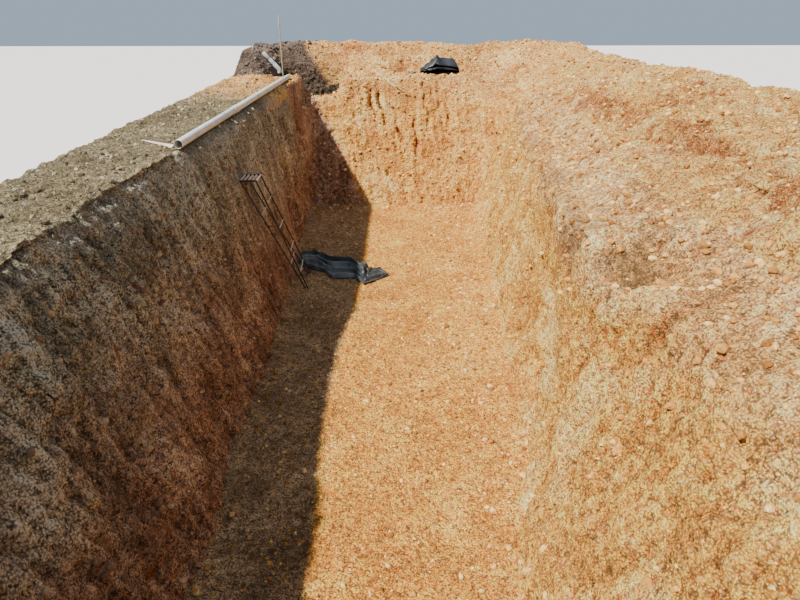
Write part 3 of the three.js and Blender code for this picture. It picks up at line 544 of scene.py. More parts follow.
class Finish:
    """A procedural finish. Its methods add nodes and give back the socket that carries the result."""

    def __init__(self, name, roughness=0.95, specular=0.15):
        self.material = bpy.data.materials.new(name)
        self.material.use_nodes = True
        self.nodes = self.material.node_tree.nodes
        self.links = self.material.node_tree.links
        self.shader = self.nodes["Principled BSDF"]
        self.shader.inputs["Roughness"].default_value = roughness
        self.shader.inputs["Specular IOR Level"].default_value = specular
        self.place = self.add("TexCoord").outputs["Object"]

    def add(self, kind, inputs=(), **settings):
        node = self.nodes.new("ShaderNode" + kind)
        for key, value in settings.items():
            setattr(node, key, value)
        for key, value in dict(inputs).items():
            self.feed(node.inputs[key], value)
        return node

    def feed(self, socket, value):
        if isinstance(value, bpy.types.NodeSocket):
            self.links.new(value, socket)
        else:
            socket.default_value = value

    def stretched(self, scale, turn=(0, 0, 0)):
        turn = [math.radians(a) for a in turn]
        return self.add("Mapping", {"Vector": self.place, "Scale": scale, "Rotation": turn}).outputs["Vector"]

    def grain(self, size, detail=4, rough=0.55, place=None, swirl=0.0):
        """Noise with patches about as wide as size."""
        node = self.add("TexNoise", {"Vector": place or self.place, "Scale": 1 / size, "Detail": detail,
                                     "Roughness": rough, "Distortion": swirl})
        return node.outputs["Fac"]

    def cells(self, size):
        """How far each place is from the middle of its cell, in cells about as wide as size."""
        return self.add("TexVoronoi", {"Vector": self.place, "Scale": 1 / size}).outputs["Distance"]

    def specks(self, size, low, high, patches, full):
        """Small dots, 1 inside and 0 between them, that come and go in patches."""
        dots = self.ramp(self.cells(size), (low, 1.0), (high, 0.0))
        return self.blend(1.0, dots, self.ramp(patches, (0.48, 0.0), full), "MULTIPLY")

    def ramp(self, value, *stops):
        """Colours, or greys given as numbers, along a value. Each stop is (position, colour)."""
        node = self.add("ValToRGB", {"Fac": value})
        elements = node.color_ramp.elements
        while len(elements) < len(stops):
            elements.new(0.5)
        for element, (position, colour) in zip(elements, stops):
            element.position = position
            element.color = tint(colour) if isinstance(colour, str) else [colour, colour, colour, 1]
        return node.outputs["Color"]

    def blend(self, factor, first, second, how="MIX"):
        node = self.add("Mix", data_type="RGBA", blend_type=how, clamp_factor=True)
        for index, value in ((0, factor), (6, first), (7, second)):
            if isinstance(value, str):
                value = tint(value)
            self.feed(node.inputs[index], value)
        return node.outputs[2]

    def overlaid(self, share, tone, value, low, high, middle=(0.5, 0.5)):
        """Darkens a tone where value is low and lightens it where high, by (position, grey) stops."""
        return self.blend(share, tone, self.ramp(value, low, middle, high), "OVERLAY")

    def calc(self, operation, *values):
        return self.add("Math", dict(enumerate(values)), operation=operation).outputs[0]

    def sum(self, *terms):
        """Adds up (value, weight) pairs."""
        parts = [self.calc("MULTIPLY", value, weight) for value, weight in terms]
        return functools.reduce(lambda total, part: self.calc("ADD", total, part), parts)

    def span(self, value, start, end):
        """Goes from 0 to 1 while value goes from start to end."""
        node = self.add("MapRange", {"Value": value, "From Min": start, "From Max": end})
        return node.outputs["Result"]

    def along(self, axis):
        return self.add("SeparateXYZ", {"Vector": self.place}).outputs[axis]

    def hollows(self):
        """0 in hollows, 1 on ridges, from the mesh itself."""
        return self.add("NewGeometry").outputs["Pointiness"]

    def colour(self, value):
        self.feed(self.shader.inputs["Base Color"], value)

    def relief(self, height, strength=0.5, distance=0.01):
        node = self.add("Bump", {"Height": height, "Strength": strength, "Distance": distance})
        self.links.new(node.outputs["Normal"], self.shader.inputs["Normal"])


def shades(clay, value, colours, stops=(0.30, 0.5, 0.72)):
    """Dark, middle and light colours along a value."""
    return clay.ramp(value, *zip(stops, colours))


def toward(start, end, *axes, ragged=0.5):
    """A share that goes from 0 to 1, raggedly, between two places along some (axis, weight) pairs."""
    def share_of(clay):
        run = end - start
        terms = [(clay.along(axis), weight) for axis, weight in axes]
        where = clay.sum(*terms, (clay.grain(0.5, detail=5, rough=0.65), 2 * ragged * run))
        low, high = start + ragged * run, end + ragged * run
        return clay.span(where, low, high)
    return share_of


def strip(middle, half, *axes, ragged=0.5):
    """A share that is 1 near a line: where the sum of some (axis, weight) pairs is near middle."""
    def share_of(clay):
        terms = [(clay.along(axis), weight) for axis, weight in axes]
        where = clay.sum(*terms, (clay.grain(0.35, detail=5, rough=0.65), 2 * ragged * half))
        off = clay.calc("ABSOLUTE", clay.calc("SUBTRACT", where, middle + ragged * half))
        return clay.span(off, 1.3 * half, 0.6 * half)
    return share_of


def around(*places, ragged=0.5):
    """A share that is 1 around some (pit place, reach) pairs and 0 beyond their reach."""
    def share_of(clay):
        frayed = clay.grain(0.22, detail=5, rough=0.7)
        shares = []
        for centre, reach in places:
            away = clay.add("VectorMath", {0: clay.place, 1: at(*centre)}, operation="DISTANCE")
            where = clay.sum((away.outputs["Value"], 1.0), (frayed, 2 * ragged * reach))
            shares.append(clay.span(where, reach * (1 + ragged), reach * (0.5 + ragged)))
        return functools.reduce(lambda total, share: clay.calc("MAXIMUM", total, share), shares)
    return share_of


def both(*shares):
    """The product of some shares."""
    def share_of(clay):
        return functools.reduce(lambda total, share: clay.calc("MULTIPLY", total, share),
                                [share(clay) for share in shares])
    return share_of


def patchy(size, low, high):
    """A share that comes and goes in patches about as wide as size."""
    return lambda clay: clay.ramp(clay.grain(size, detail=5, rough=0.65, swirl=0.8), (low, 0.0), (high, 1.0))


# How far across the floor the painted shade of the left wall reaches, as (share of the way along, share of
# 0.3 m)
SHADE_RIM = ((0.0, 0.46), (0.10, 0.46), (0.14, 0.33), (0.19, 0.16), (0.27, 0.07), (0.37, 0.14), (0.44, 0.25),
             (0.51, 0.52), (1.0, 0.56))


def painted_floor_shade(clay):
    """Where the floor's colour is painted shade: where the left wall keeps the sun off the floor, left of a
    line that follows the wall's rim.
    """
    along = clay.span(clay.along("Y"), -7.0, 4.5)
    where = clay.sum((clay.along("X"), 1.0), (clay.along("Y"), -0.029),
                     (clay.ramp(along, *SHADE_RIM), -0.3), (clay.grain(0.12, detail=4), 0.06))
    return clay.span(where, -1.45, -1.53)


# Where the second pit's earth is out of its painted shadow: high up, and right of a line that slants down its
# bank along the painted shadow's edge
out_of_painted_shadow = both(toward(-0.88, -0.70, ("X", 1.0), ("Z", 0.62), ragged=0.3),
                 toward(2.74, 2.9, ("Z", 1.0), ragged=0.3))


def soil(name, colours, streak=None, turn=(0, 0, 0), marks=0.5, grit="d8c3a2", grit_share=0.2, spots=(),
         fades=(), scratches=None, depth=0.05, crumb_light_and_shade=0.5, crevice_shade="6e5239", crests=0.9):
    """Clay: patches of three shades, scrape streaks, grit, painted shade in its hollows and crevices, and
    painted light on its ridges and crumbs.

    streak and turn give the size and slant of the scrapes, and marks how strongly they show. spots are
    (colour, size, low, high) stains. fades gives further sets of shades, each with the function that says
    where it takes over. scratches is the colour of the short fresh smears that the bucket's teeth leave.
    crumb_light_and_shade is how strongly the crumbs show, as painted light on their tops and painted shade
    between them, crevice_shade the colour of that painted shade, and crests how strongly the painted shade in
    the ground's hollows and the painted light on its ridges show. depth is the height of the fine relief.
    """
    clay = Finish(name)
    patches = clay.grain(0.8, detail=5, rough=0.65, swirl=0.6)
    tone = shades(clay, patches, colours)
    for others, share_of in fades:
        tone = clay.blend(share_of(clay), tone, shades(clay, patches, others))
    fine = clay.grain(0.10, detail=8, rough=0.78)
    tone = clay.overlaid(0.9, tone, fine, (0.30, 0.27), (0.72, 0.80))
    gravel = clay.grain(0.022, detail=4, rough=0.8)
    tone = clay.overlaid(0.8, tone, gravel, (0.34, 0.30), (0.68, 0.78))
    grains = clay.ramp(clay.cells(0.017), (0.08, 1.0), (0.72, 0.0))
    crumbs = clay.sum((clay.grain(0.055, detail=6, rough=0.78), 0.72), (grains, 0.28))
    # Painted light on the crumbs' tops and painted shade in the crevices between them, where the relief is
    # low
    tone = clay.overlaid(crumb_light_and_shade, tone, crumbs, (0.29, 0.34), (0.60, 0.92), middle=(0.44, 0.5))
    tone = clay.blend(clay.ramp(crumbs, (0.32, 0.85 * crumb_light_and_shade), (0.45, 0.0)), tone, crevice_shade)
    heights = [(fine, 1.0), (gravel, 0.5), (crumbs, 0.8)]
    if streak is not None:
        lines = clay.grain(0.9, detail=7, rough=0.68, place=clay.stretched(streak, turn))
        tone = clay.overlaid(marks, tone, lines, (0.32, 0.22), (0.68, 0.74))
        heights.append((lines, 1.6))
    if scratches is not None:
        smears = clay.grain(0.22, detail=3, rough=0.5, place=clay.stretched((1.0, 3.6, 0.75), turn))
        tone = clay.blend(clay.ramp(smears, (0.66, 0.0), (0.70, 0.9)), tone, scratches)
    for colour, size, low, high in spots:
        where = clay.grain(size, detail=6, rough=0.7, swirl=1.0)
        tone = clay.blend(clay.ramp(where, (low, 0.0), (high, 1.0)), tone, colour)
    lumps = clay.cells(0.055)
    heights.append((clay.ramp(lumps, (0.0, 1.0), (0.6, 0.0)), 0.5))
    # Painted shade in the gaps between the lumps, where the relief is low
    painted_gap_shade = clay.ramp(lumps, (0.45, 0.5), (0.75, 0.3))
    tone = clay.blend(0.7, tone, painted_gap_shade, "OVERLAY")
    speck = clay.specks(0.04, grit_share, grit_share + 0.08, clay.grain(0.25, detail=2), (0.62, 0.85))
    tone = clay.blend(speck, tone, grit)
    # Painted shade in the mesh's hollows and painted light on its ridges
    tone = clay.overlaid(crests, tone, clay.hollows(), (0.43, 0.16), (0.57, 0.76))
    clay.colour(tone)
    heights.append((speck, 0.25))
    clay.relief(clay.sum(*heights), strength=1.0, distance=depth)
    return clay.material


TAN = ("bf8547", "dba663", "edc486")
OLIVE = ("77715e", "a39e8a", "cac5af")
RED_BROWN = ("77523f", "a48068", "d0b096")
RED_CLODS = ("8a5228", "b4743c", "d69e60")
HOLLOW_CLODS_AND_SHADE = ("6c4c2f", "9c7446", "c29a66")
# Dark brown-grey earth: painted shadow over the second pit and the rear spoil
PAINTED_SHADOW_EARTH = ("50433a", "6a5a4e", "887666")
# Greyer floor colours: painted shade where the left wall's shadow falls on the floor
PAINTED_SHADE_COLOURS = ("7a6348", "a28664", "c0a47e")
LEFT_CLAY = soil("left_clay", RED_BROWN, streak=(0.5, 6.0, 0.55), turn=(14, 0, 0), marks=1.0, crumb_light_and_shade=0.9,
                 spots=(("2f241d", 0.10, 0.60, 0.67), ("d2b68a", 0.16, 0.64, 0.74)),
                 grit="d6c6a6", grit_share=0.16,
                 fades=((OLIVE, toward(1.0, 2.8, ("Z", 1.0))),
                        (TAN, both(toward(-7.5, -8.0, ("Y", 1.0)), toward(2.6, 2.85, ("Z", 1.0))))),
                 scratches="a8623f", crevice_shade="352a21", crests=0.65)
RIGHT_CLAY = soil("right_clay", ("b0762f", "d8a04a", "f0ca82"), streak=(0.5, 4.5, 0.6), turn=(14, 0, 0),
                  marks=0.7,
                  spots=(("a5542f", 0.35, 0.61, 0.71), ("6e4528", 0.14, 0.62, 0.70)), crumb_light_and_shade=0.9,
                  fades=((("a87c4e", "cea26a", "e8c692"), toward(2.5, 3.1, ("Z", 1.0))),
                         (("86633e", "b28c5c", "d6b280"),
                          both(strip(1.74, 0.17, ("X", 1.0), ("Y", -0.1416)), toward(2.4, 2.75, ("Z", 1.0)),
                               patchy(0.6, 0.38, 0.52))),
                         # Darker earth in the shoulder's hollow: partly its clods' own colour, partly painted
                         # shade in the hollow
                         (HOLLOW_CLODS_AND_SHADE, around(((2.15, 5.3, 2.9), 0.45), ((2.45, 5.55, 3.05), 0.28)))),
                  scratches="c4763a")
FAR_CLAY = soil("far_clay", ("b87434", "e0a452", "f4cc82"), streak=(5.0, 0.5, 0.55), turn=(0, -9, 0),
                marks=0.5,
                spots=(("e6c18c", 0.5, 0.66, 0.78), ("80492a", 0.12, 0.62, 0.70)), crumb_light_and_shade=0.8,
                fades=((TAN, toward(2.6, 3.3, ("Z", 1.0))),
                       # Painted shade: red-brown left of a line that slants down the far wall along the left
                       # wall's shadow edge; it also meets the left wall's colours at the corner
                       (RED_BROWN, toward(-1.05, -1.19, ("X", 1.0), ("Z", 0.522), ragged=0.2)),
                       (TAN, toward(3.18, 3.36, ("Z", 1.0), ragged=0.3))))
PAINTED_SHADOW_CLAY = soil("painted_shadow_clay", PAINTED_SHADOW_EARTH, grit="9c8e7c", grit_share=0.14, crumb_light_and_shade=0.8, crevice_shade="4e3c2d",
                 fades=((TAN, out_of_painted_shadow),
                        # Red-brown patches at the hollows behind the far wall: partly the clods' own colour,
                        # partly painted shade in those hollows
                        (RED_CLODS, both(around(((3.6, 18.0, 3.3), 0.8), ((0.6, 18.65, 3.4), 0.55),
                                                ((-0.3, 17.15, 3.25), 0.5), ((-1.0, 19.9, 3.9), 0.9),
                                                ((2.6, 20.3, 3.9), 0.8)),
                                         patchy(0.3, 0.40, 0.56)))))
TOPSOIL = soil("topsoil", ("7c7566", "a69f8d", "cac3b0"), grit="c8bda4", grit_share=0.16, crumb_light_and_shade=0.8,
               crevice_shade="473c2d",
               fades=((("62563f", "7f7256", "9d8f70"), toward(3.18, 3.3, ("Z", 1.0))),
                      (TAN, toward(1.8, 4.3, ("Y", 1.0)))))
FLOOR_CLAY = soil("floor_clay", ("be7c32", "de9b42", "f2b960"), grit="e8cf9e", grit_share=0.14, crumb_light_and_shade=1.0,
                  fades=((PAINTED_SHADE_COLOURS, painted_floor_shade),))
SPOIL_CLAY = soil("spoil_clay", ("c98d48", "eab466", "fad898"), grit="ead8b4", grit_share=0.2, depth=0.07,
                  crumb_light_and_shade=0.95,
                  spots=(("a85a34", 0.8, 0.56, 0.69), ("7c4c2c", 0.13, 0.62, 0.71)),
                  fades=((RED_CLODS, both(strip(2.86, 0.20, ("X", 1.0), ("Y", -0.03), ragged=1.6),
                                          patchy(0.9, 0.44, 0.54), toward(-6.9, -5.9, ("Y", 1.0)),
                                          toward(3.0, 2.0, ("Y", 1.0)))),
                         (RED_CLODS, both(around(((3.3, 14.2, 3.35), 0.7), ((4.3, 5.2, 3.7), 0.7),
                                                 ((4.6, 9.4, 3.8), 0.8), ((4.4, 1.8, 3.7), 0.7)),
                                          patchy(0.35, 0.42, 0.56)))))


def cut_earth():
    """The plumb outer faces, in layers: spoil, buried topsoil, brown clay and paler gravelly clay."""
    clay = Finish("cut_earth")
    height = clay.along("Z")
    wobble = clay.sum((clay.grain(1.6, detail=4), 0.5), (height, 1.0))
    tone = clay.ramp(clay.sum((wobble, 0.25)), (0.05, "a98a66"), (0.25, "a67c54"), (0.5, "9a6a42"),
                     (0.72, "885a38"), (0.80, "6b4b31"), (0.83, "4d3726"), (0.875, "42301f"),
                     (0.89, "b98552"))
    bands = clay.grain(0.4, detail=7, rough=0.68, place=clay.stretched((0.6, 0.6, 3.2)))
    tone = clay.overlaid(0.8, tone, bands, (0.3, 0.28), (0.7, 0.72))
    scrapes = clay.grain(0.5, detail=7, rough=0.7, place=clay.stretched((3.0, 3.0, 0.8), turn=(24, 18, 0)))
    tone = clay.overlaid(0.25, tone, scrapes, (0.34, 0.25), (0.66, 0.75))
    fine = clay.grain(0.045, detail=7, rough=0.75)
    tone = clay.overlaid(0.9, tone, fine, (0.30, 0.2), (0.72, 0.8))
    heights = [(fine, 1.0), (bands, 1.5), (scrapes, 1.0)]
    for size, colour, share in ((0.16, "cbb592", 0.16), (0.07, "c4a67c", 0.20), (0.09, "5a3c28", 0.14)):
        speck = clay.specks(size, share - 0.05, share, clay.grain(4 * size), (0.58, 0.8))
        tone = clay.blend(speck, tone, colour)
        heights.append((speck, 0.5))
    clay.colour(tone)
    clay.relief(clay.sum(*heights), strength=1.0, distance=0.03)
    return clay.material


CUT_EARTH = cut_earth()


def clad(piece, *materials):
    piece.data.materials.clear()
    for material in materials:
        piece.data.materials.append(material)


def settled(piece, slot, nodes, *materials, smooth_to=math.radians(42)):
    """Gives a piece its finish unless it has one and smooth shading, hangs it under the root, and hides the
    CAD nodes that it stands for. slot is not used.
    """
    if materials:
        clad(piece, *materials)
    pick(piece)
    bpy.ops.object.shade_smooth_by_angle(angle=smooth_to)
    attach(piece, "root")
    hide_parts(*nodes)


def face_cuts(piece, close=0.0005):
    """Gives the plumb outer faces and the underside their own finish."""
    low, high = at(OUTER_LEFT, 0, 0), at(OUTER_RIGHT, LENGTH, 0)
    for face in piece.data.polygons:
        x, y, z = face.center
        outside = min(x - low.x, high.x - x, y - low.y, high.y - y, z) < close
        face.material_index = 1 if outside and max(abs(c) for c in face.normal) > 0.999 else 0


# The earth, weathered as one body and then parted into its named pieces


def merged(label, *parts):
    """Joins closed parts into one piece."""
    pick(parts[0])
    for part in parts[1:]:
        part.select_set(True)
    bpy.ops.object.join()
    parts[0].name = label
    return parts[0]


# Planes that part the earth, as pit places
FAR_CUT_S = 15.1
SECOND_CUT_S = 17.0
RIGHT_CUT_X = 0.6
NEAR_CUT_X = -1.45
CORNER_CUT_X = 2.6
SPOIL_CUT_Z = 3.2207
REAR_SPOIL_CUT_Z = 3.5

left_part = make_ground()
far_part = split(left_part, "far_wall_earth", 1, at(0, FAR_CUT_S).y)
second_part = split(far_part, "second_pit_earth", 1, at(0, SECOND_CUT_S).y)
right_part = split(left_part, "right_wall_earth", 0, at(RIGHT_CUT_X, 0).x)
near_part = split(left_part, "near_wall_earth", 0, at(NEAR_CUT_X, 0).x)
topsoil_part = split(left_part, "left_topsoil_earth", 2, SUBSOIL_TOP)
left_part.name = "left_wall_earth"
right_spoil = split(right_part, "right_spoil_main", 2, SPOIL_CUT_Z)
far_block = split(far_part, "far_block", 0, at(CORNER_CUT_X, 0).x)
far_spoil = split(far_block, "right_spoil_rear", 2, SPOIL_CUT_Z)
far_part = merged("far_wall_earth", far_part, far_block)
spoil_part = merged("right_spoil_earth", right_spoil, far_spoil)
rear_spoil_part = split(second_part, "rear_spoil_earth", 2, REAR_SPOIL_CUT_Z)
floor_part = make_floor()
heap_at_walls(floor_part, [left_part, far_part, right_part, near_part])

for helper in (side_marks, side_bites, far_marks):
    bpy.data.objects.remove(helper)

EARTH = [
    (left_part, "left_earth", LEFT_CLAY, ["left_wall_near", "left_wall_middle", "left_wall_far"]),
    (topsoil_part, "topsoil", TOPSOIL, ["left_topsoil_near", "left_topsoil_far"]),
    (right_part, "right_earth", RIGHT_CLAY,
     ["right_wall_near", "right_wall_undercut", "right_wall_middle", "right_wall_far"]),
    (near_part, "far_earth", FAR_CLAY, ["near_wall"]),
    (far_part, "far_earth", FAR_CLAY,
     ["far_wall_left", "far_wall_saddle", "far_wall_middle", "far_wall_right"]),
    (second_part, "left_earth", PAINTED_SHADOW_CLAY,
     ["second_pit_left_bank", "second_pit_floor", "second_pit_right_bank", "second_pit_far_bank"]),
    (floor_part, "floor_earth", FLOOR_CLAY, FLOOR_NODES),
    (spoil_part, "spoil_earth", SPOIL_CLAY, RIGHT_SPOIL_NODES),
    (rear_spoil_part, "spoil_earth", PAINTED_SHADOW_CLAY, REAR_SPOIL_NODES),
]
for piece, slot, material, nodes in EARTH:
    piece.vertex_groups.clear()
    clad(piece, material, CUT_EARTH)
    face_cuts(piece)
    settled(piece, slot, nodes, smooth_to=math.radians(50))
    print(piece.name, len(piece.data.polygons), "faces")

# Loose stones and clods, each a small lump of a few faces, lying on the earth


def lump_forms(count, seed, apart=3.1):
    """A few small lumps, modelled once each and copied many times."""
    forms = []
    pick_from = random.Random(seed)
    for k in range(count):
        bpy.ops.mesh.primitive_ico_sphere_add(subdivisions=1, radius=1)
        lump = bpy.context.object
        lump.scale = (1.0, pick_from.uniform(0.65, 0.95), pick_from.uniform(0.5, 0.8))
        bpy.ops.object.transform_apply(scale=True)
        rough = noise(f"lump_{k}", "CLOUDS", 0.9, noise_depth=1)
        lump.location = (apart * k, 0, 0)
        bpy.ops.object.transform_apply(location=True)
        weather(lump, rough, 0.9, "NORMAL", "")
        points = places_of(lump) - np.array([apart * k, 0, 0], np.float32)
        faces = np.array([list(face.vertices) for face in lump.data.polygons])
        forms.append((points, faces))
        drop(lump)
    return forms


PEBBLE_CORNERS = [(1, 0, 0), (-1, 0, 0), (0, 1, 0), (0, -1, 0), (0, 0, 1), (0, 0, -1)]
PEBBLE_FACES = [(0, 2, 4), (2, 1, 4), (1, 3, 4), (3, 0, 4), (2, 0, 5), (1, 2, 5), (3, 1, 5), (0, 3, 5)]


def pebble_forms(count, seed):
    """A few eight-faced pebbles, each corner drawn in or out by chance."""
    pick_from = random.Random(seed)
    forms = []
    for _ in range(count):
        squat = np.array([1.0, pick_from.uniform(0.65, 0.95), pick_from.uniform(0.5, 0.8)])
        corners = [np.array(corner) * pick_from.uniform(0.8, 1.2) + 0.15 * pick_from.uniform(-1, 1)
                   for corner in PEBBLE_CORNERS]
        forms.append(((np.array(corners) * squat).astype(np.float32), np.array(PEBBLE_FACES)))
    return forms


CLOD_FORMS = lump_forms(5, 11)
PEBBLE_FORMS = pebble_forms(8, 12)
# From this size on a stone is a rounder clod
BIG_CLOD = 0.03
# How far a stone's middle lies over the ground, as a share of its size
SEAT = 0.18
SKY_Z = 6.0


def scattered(label, grounds, count, area, sizes, seed, steepest):
    """Lumps strewn over the earth inside area (x0, x1, s0, s1), in sizes from low to high, mostly small."""
    chance = random.Random(seed)
    trees = []
    for ground in grounds:
        ground.data.calc_loop_triangles()
        trees.append(surface_of(ground, ground.data.loop_triangles))
    x0, x1, s0, s1 = area
    points, faces, start = [], [], 0
    made = 0
    for _ in range(count * 4):
        if made == count:
            break
        over = at(chance.uniform(x0, x1), chance.uniform(s0, s1), SKY_Z)
        best = None
        for tree in trees:
            place, normal, _, _ = tree.ray_cast(over, Vector((0, 0, -1)))
            if place is not None and (best is None or place.z > best[0].z):
                best = (place, normal)
        size = sizes[0] * (sizes[1] / sizes[0]) ** (chance.random() ** 2.2)
        turn = (Matrix.Rotation(chance.uniform(0, 6.28), 3, "Z")
                @ Matrix.Rotation(chance.uniform(-0.5, 0.5), 3, "X"))
        form = chance.choice(CLOD_FORMS if size > BIG_CLOD else PEBBLE_FORMS)
        if best is None or best[1].z < steepest:
            continue
        place = np.array(best[0]) + np.array(best[1]) * size * SEAT
        points.append(form[0] @ np.array(turn.transposed()) * size + place)
        faces.append(form[1] + start)
        start += len(form[0])
        made += 1
    mesh = bpy.data.meshes.new(label)
    mesh.from_pydata(np.concatenate(points).tolist(), [], np.concatenate(faces).tolist())
    piece = bpy.data.objects.new(label, mesh)
    bpy.context.scene.collection.objects.link(piece)
    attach(piece, "root")
    return piece


def stones(name, colours):
    """Loose stones: each lump takes its own shade."""
    clay = Finish(name)
    each = clay.add("NewGeometry").outputs["Random Per Island"]
    tone = shades(clay, each, colours, stops=(0.0, 0.55, 0.9))
    fine = clay.grain(0.03, detail=6, rough=0.7)
    tone = clay.overlaid(0.8, tone, fine, (0.3, 0.25), (0.72, 0.75))
    clay.colour(tone)
    clay.relief(fine, strength=0.9, distance=0.02)
    return clay.material


FLOOR_STONES = stones("floor_stones", ("754a28", "c08b48", "e4c284"))
SLOPE_CLODS = stones("slope_clods", ("92602f", "c8924c", "e2bd7c"))
LEFT_CLODS = stones("left_clods", ("6e5040", "94755a", "bfa482"))
TOPSOIL_CLODS = stones("topsoil_clods", ("5e5444", "83785f", "b0a488"))
# Dark clods: painted shadow, like the earth that they lie on
PAINTED_SHADOW_CLODS = stones("painted_shadow_clods", ("4c4340", "6a5e56", "8d8076"))

for label, grounds, count, area, sizes, seed, steepest, material, slot in (
        ("floor_gravel", [floor_part], 10500, (-1.75, 2.1, 2.9, 15.4),
         (0.006, 0.034), 1, 0.5, FLOOR_STONES, "floor_earth"),
        ("right_wall_clods", [right_part, floor_part], 5200, (0.9, 3.6, 1.0, 15.3),
         (0.009, 0.05), 2, 0.1, SLOPE_CLODS, "right_earth"),
        ("spoil_clods", [spoil_part, right_part], 7200, (2.4, 5.5, 0.1, 17.0),
         (0.009, 0.055), 3, 0.2, SLOPE_CLODS, "spoil_earth"),
        ("far_clods", [far_part, second_part, rear_spoil_part, floor_part], 4400, (-2.1, 5.5, 14.9, 20.9),
         (0.012, 0.06), 4, 0.1, SLOPE_CLODS, "far_earth"),
        ("painted_shadow_clods", [second_part, rear_spoil_part], 800, (-3.9, -2.1, 17.0, 20.9),
         (0.012, 0.075), 7, 0.1, PAINTED_SHADOW_CLODS, "left_earth"),
        ("far_corner_clods", [far_part], 300, (-3.9, -2.1, 15.2, 16.9),
         (0.012, 0.06), 8, 0.1, SLOPE_CLODS, "far_earth"),
        ("left_bank_clods", [topsoil_part], 2200, (-3.95, -2.3, 0.1, 15.1),
         (0.008, 0.05), 5, 0.2, TOPSOIL_CLODS, "topsoil"),
        ("left_wall_crumbs", [left_part], 2200, (-2.7, -1.35, 0.5, 15.3),
         (0.008, 0.05), 6, 0.05, LEFT_CLODS, "left_earth")):
    piece = scattered(label, grounds, count, area, sizes, seed, steepest)
    clad(piece, material)

# Pipes


def laid_cylinder(start, end, radius, sides, filled=True):
    """A cylinder along the line between two places."""
    run = end - start
    bpy.ops.object.select_all(action="DESELECT")
    bpy.ops.mesh.primitive_cylinder_add(vertices=sides, radius=radius, depth=run.length,
                                        location=(start + end) / 2,
                                        rotation=run.to_track_quat("Z", "Y").to_euler(),
                                        end_fill_type="NGON" if filled else "NOTHING")
    piece = bpy.context.object
    bpy.ops.object.transform_apply(location=True, rotation=True, scale=True)
    return piece


def hollow_pipe(label, start, end, radius, wall, rim=0.0012):
    """A straight pipe with its inside, and both rims rounded."""
    pipe = laid_cylinder(start, end, radius, 48, filled=False)
    pipe.name = label
    finish_modifier(pipe, "SOLIDIFY", thickness=wall, offset=-1)
    eased(pipe, rim)
    return pipe


def weathered_plastic(name, base, dust, dust_top=None):
    """Grey-white pipe plastic with faint streaks, splashed mud, and soil up to a height if given."""
    plastic = Finish(name, roughness=0.42, specular=0.4)
    cloudy = plastic.grain(0.35, detail=5, rough=0.6)
    tone = plastic.blend(0.5, base, plastic.ramp(cloudy, (0.3, "9fa5a2"), (0.5, "c3c6c1"), (0.7, "dcdcd4")))
    splash = plastic.grain(0.09, detail=8, rough=0.75)
    share = plastic.ramp(splash, (0.56, 0.0), (0.70, 0.75))
    tone = plastic.blend(share, tone, dust)
    if dust_top is not None:
        height = plastic.sum((plastic.along("Z"), 1.0), (splash, 0.05))
        soiled = plastic.span(height, dust_top + 0.07, dust_top)
        tone = plastic.blend(soiled, tone, dust)
    plastic.colour(tone)
    plastic.feed(plastic.shader.inputs["Roughness"], plastic.ramp(splash, (0.4, 0.38), (0.7, 0.85)))
    plastic.relief(splash, strength=0.3, distance=0.002)
    return plastic.material


# The pipe's socket rests on the ground and keeps the pipe clear of it
SOCKET_WALL = 0.0065
PIPE_Z = GROUND_Z + 0.0006 + PIPE_RADIUS + SOCKET_WALL
FITTING_RIM = 0.0008
PIPE_PLASTIC = weathered_plastic("pipe_plastic", "cfd1cb", "b98f63", dust_top=GROUND_Z)
DRAIN_PLASTIC = weathered_plastic("drain_plastic", "b9bfc0", "a8835c")


def pipe_place(s):
    t = (s - PIPE_START[1]) / (PIPE_END[1] - PIPE_START[1])
    return at(PIPE_START[0] + t * (PIPE_END[0] - PIPE_START[0]), s, PIPE_Z)


for label, node, start_s, end_s in (
        ("inlet_pipe_near_length", "inlet_pipe_near", PIPE_START[1], SOCKET_S),
        ("inlet_pipe_far_length", "inlet_pipe_far", SOCKET_S, PIPE_END[1])):
    length = hollow_pipe(label, pipe_place(start_s), pipe_place(end_s), PIPE_RADIUS, PIPE_WALL)
    settled(length, "pipe_plastic", [node], PIPE_PLASTIC)

socket_start = SOCKET_S - SOCKET_LENGTH / 2
socket_end = socket_start + SOCKET_LENGTH
# Outer radius, wall and rim of the socket's sleeve and of the three beads round it
SLEEVE = (0.0638, 0.0062, 0.002)
BEAD = (0.0655, 0.003, 0.0014)
bead_width = 0.016
sleeve = hollow_pipe("inlet_pipe_sleeve", pipe_place(socket_start), pipe_place(socket_end), *SLEEVE)
beads = [hollow_pipe("bead", pipe_place(s), pipe_place(s + bead_width), *BEAD)
         for s in (socket_start + 0.012, SOCKET_S - 0.008, socket_end - 0.028)]
settled(merged("inlet_pipe_sleeve", sleeve, *beads), "pipe_plastic", ["inlet_pipe_socket"], PIPE_PLASTIC)

for node in ("drain_pipe_upper", "drain_pipe_lower", "drain_pipe_elbow", "pipe_offcut"):
    fitting = merged_copy(node)
    fitting.name = node + "_plastic"
    eased(fitting, FITTING_RIM)
    settled(fitting, "pipe_plastic", [node], PIPE_PLASTIC if node == "pipe_offcut" else DRAIN_PLASTIC)

# Step stand


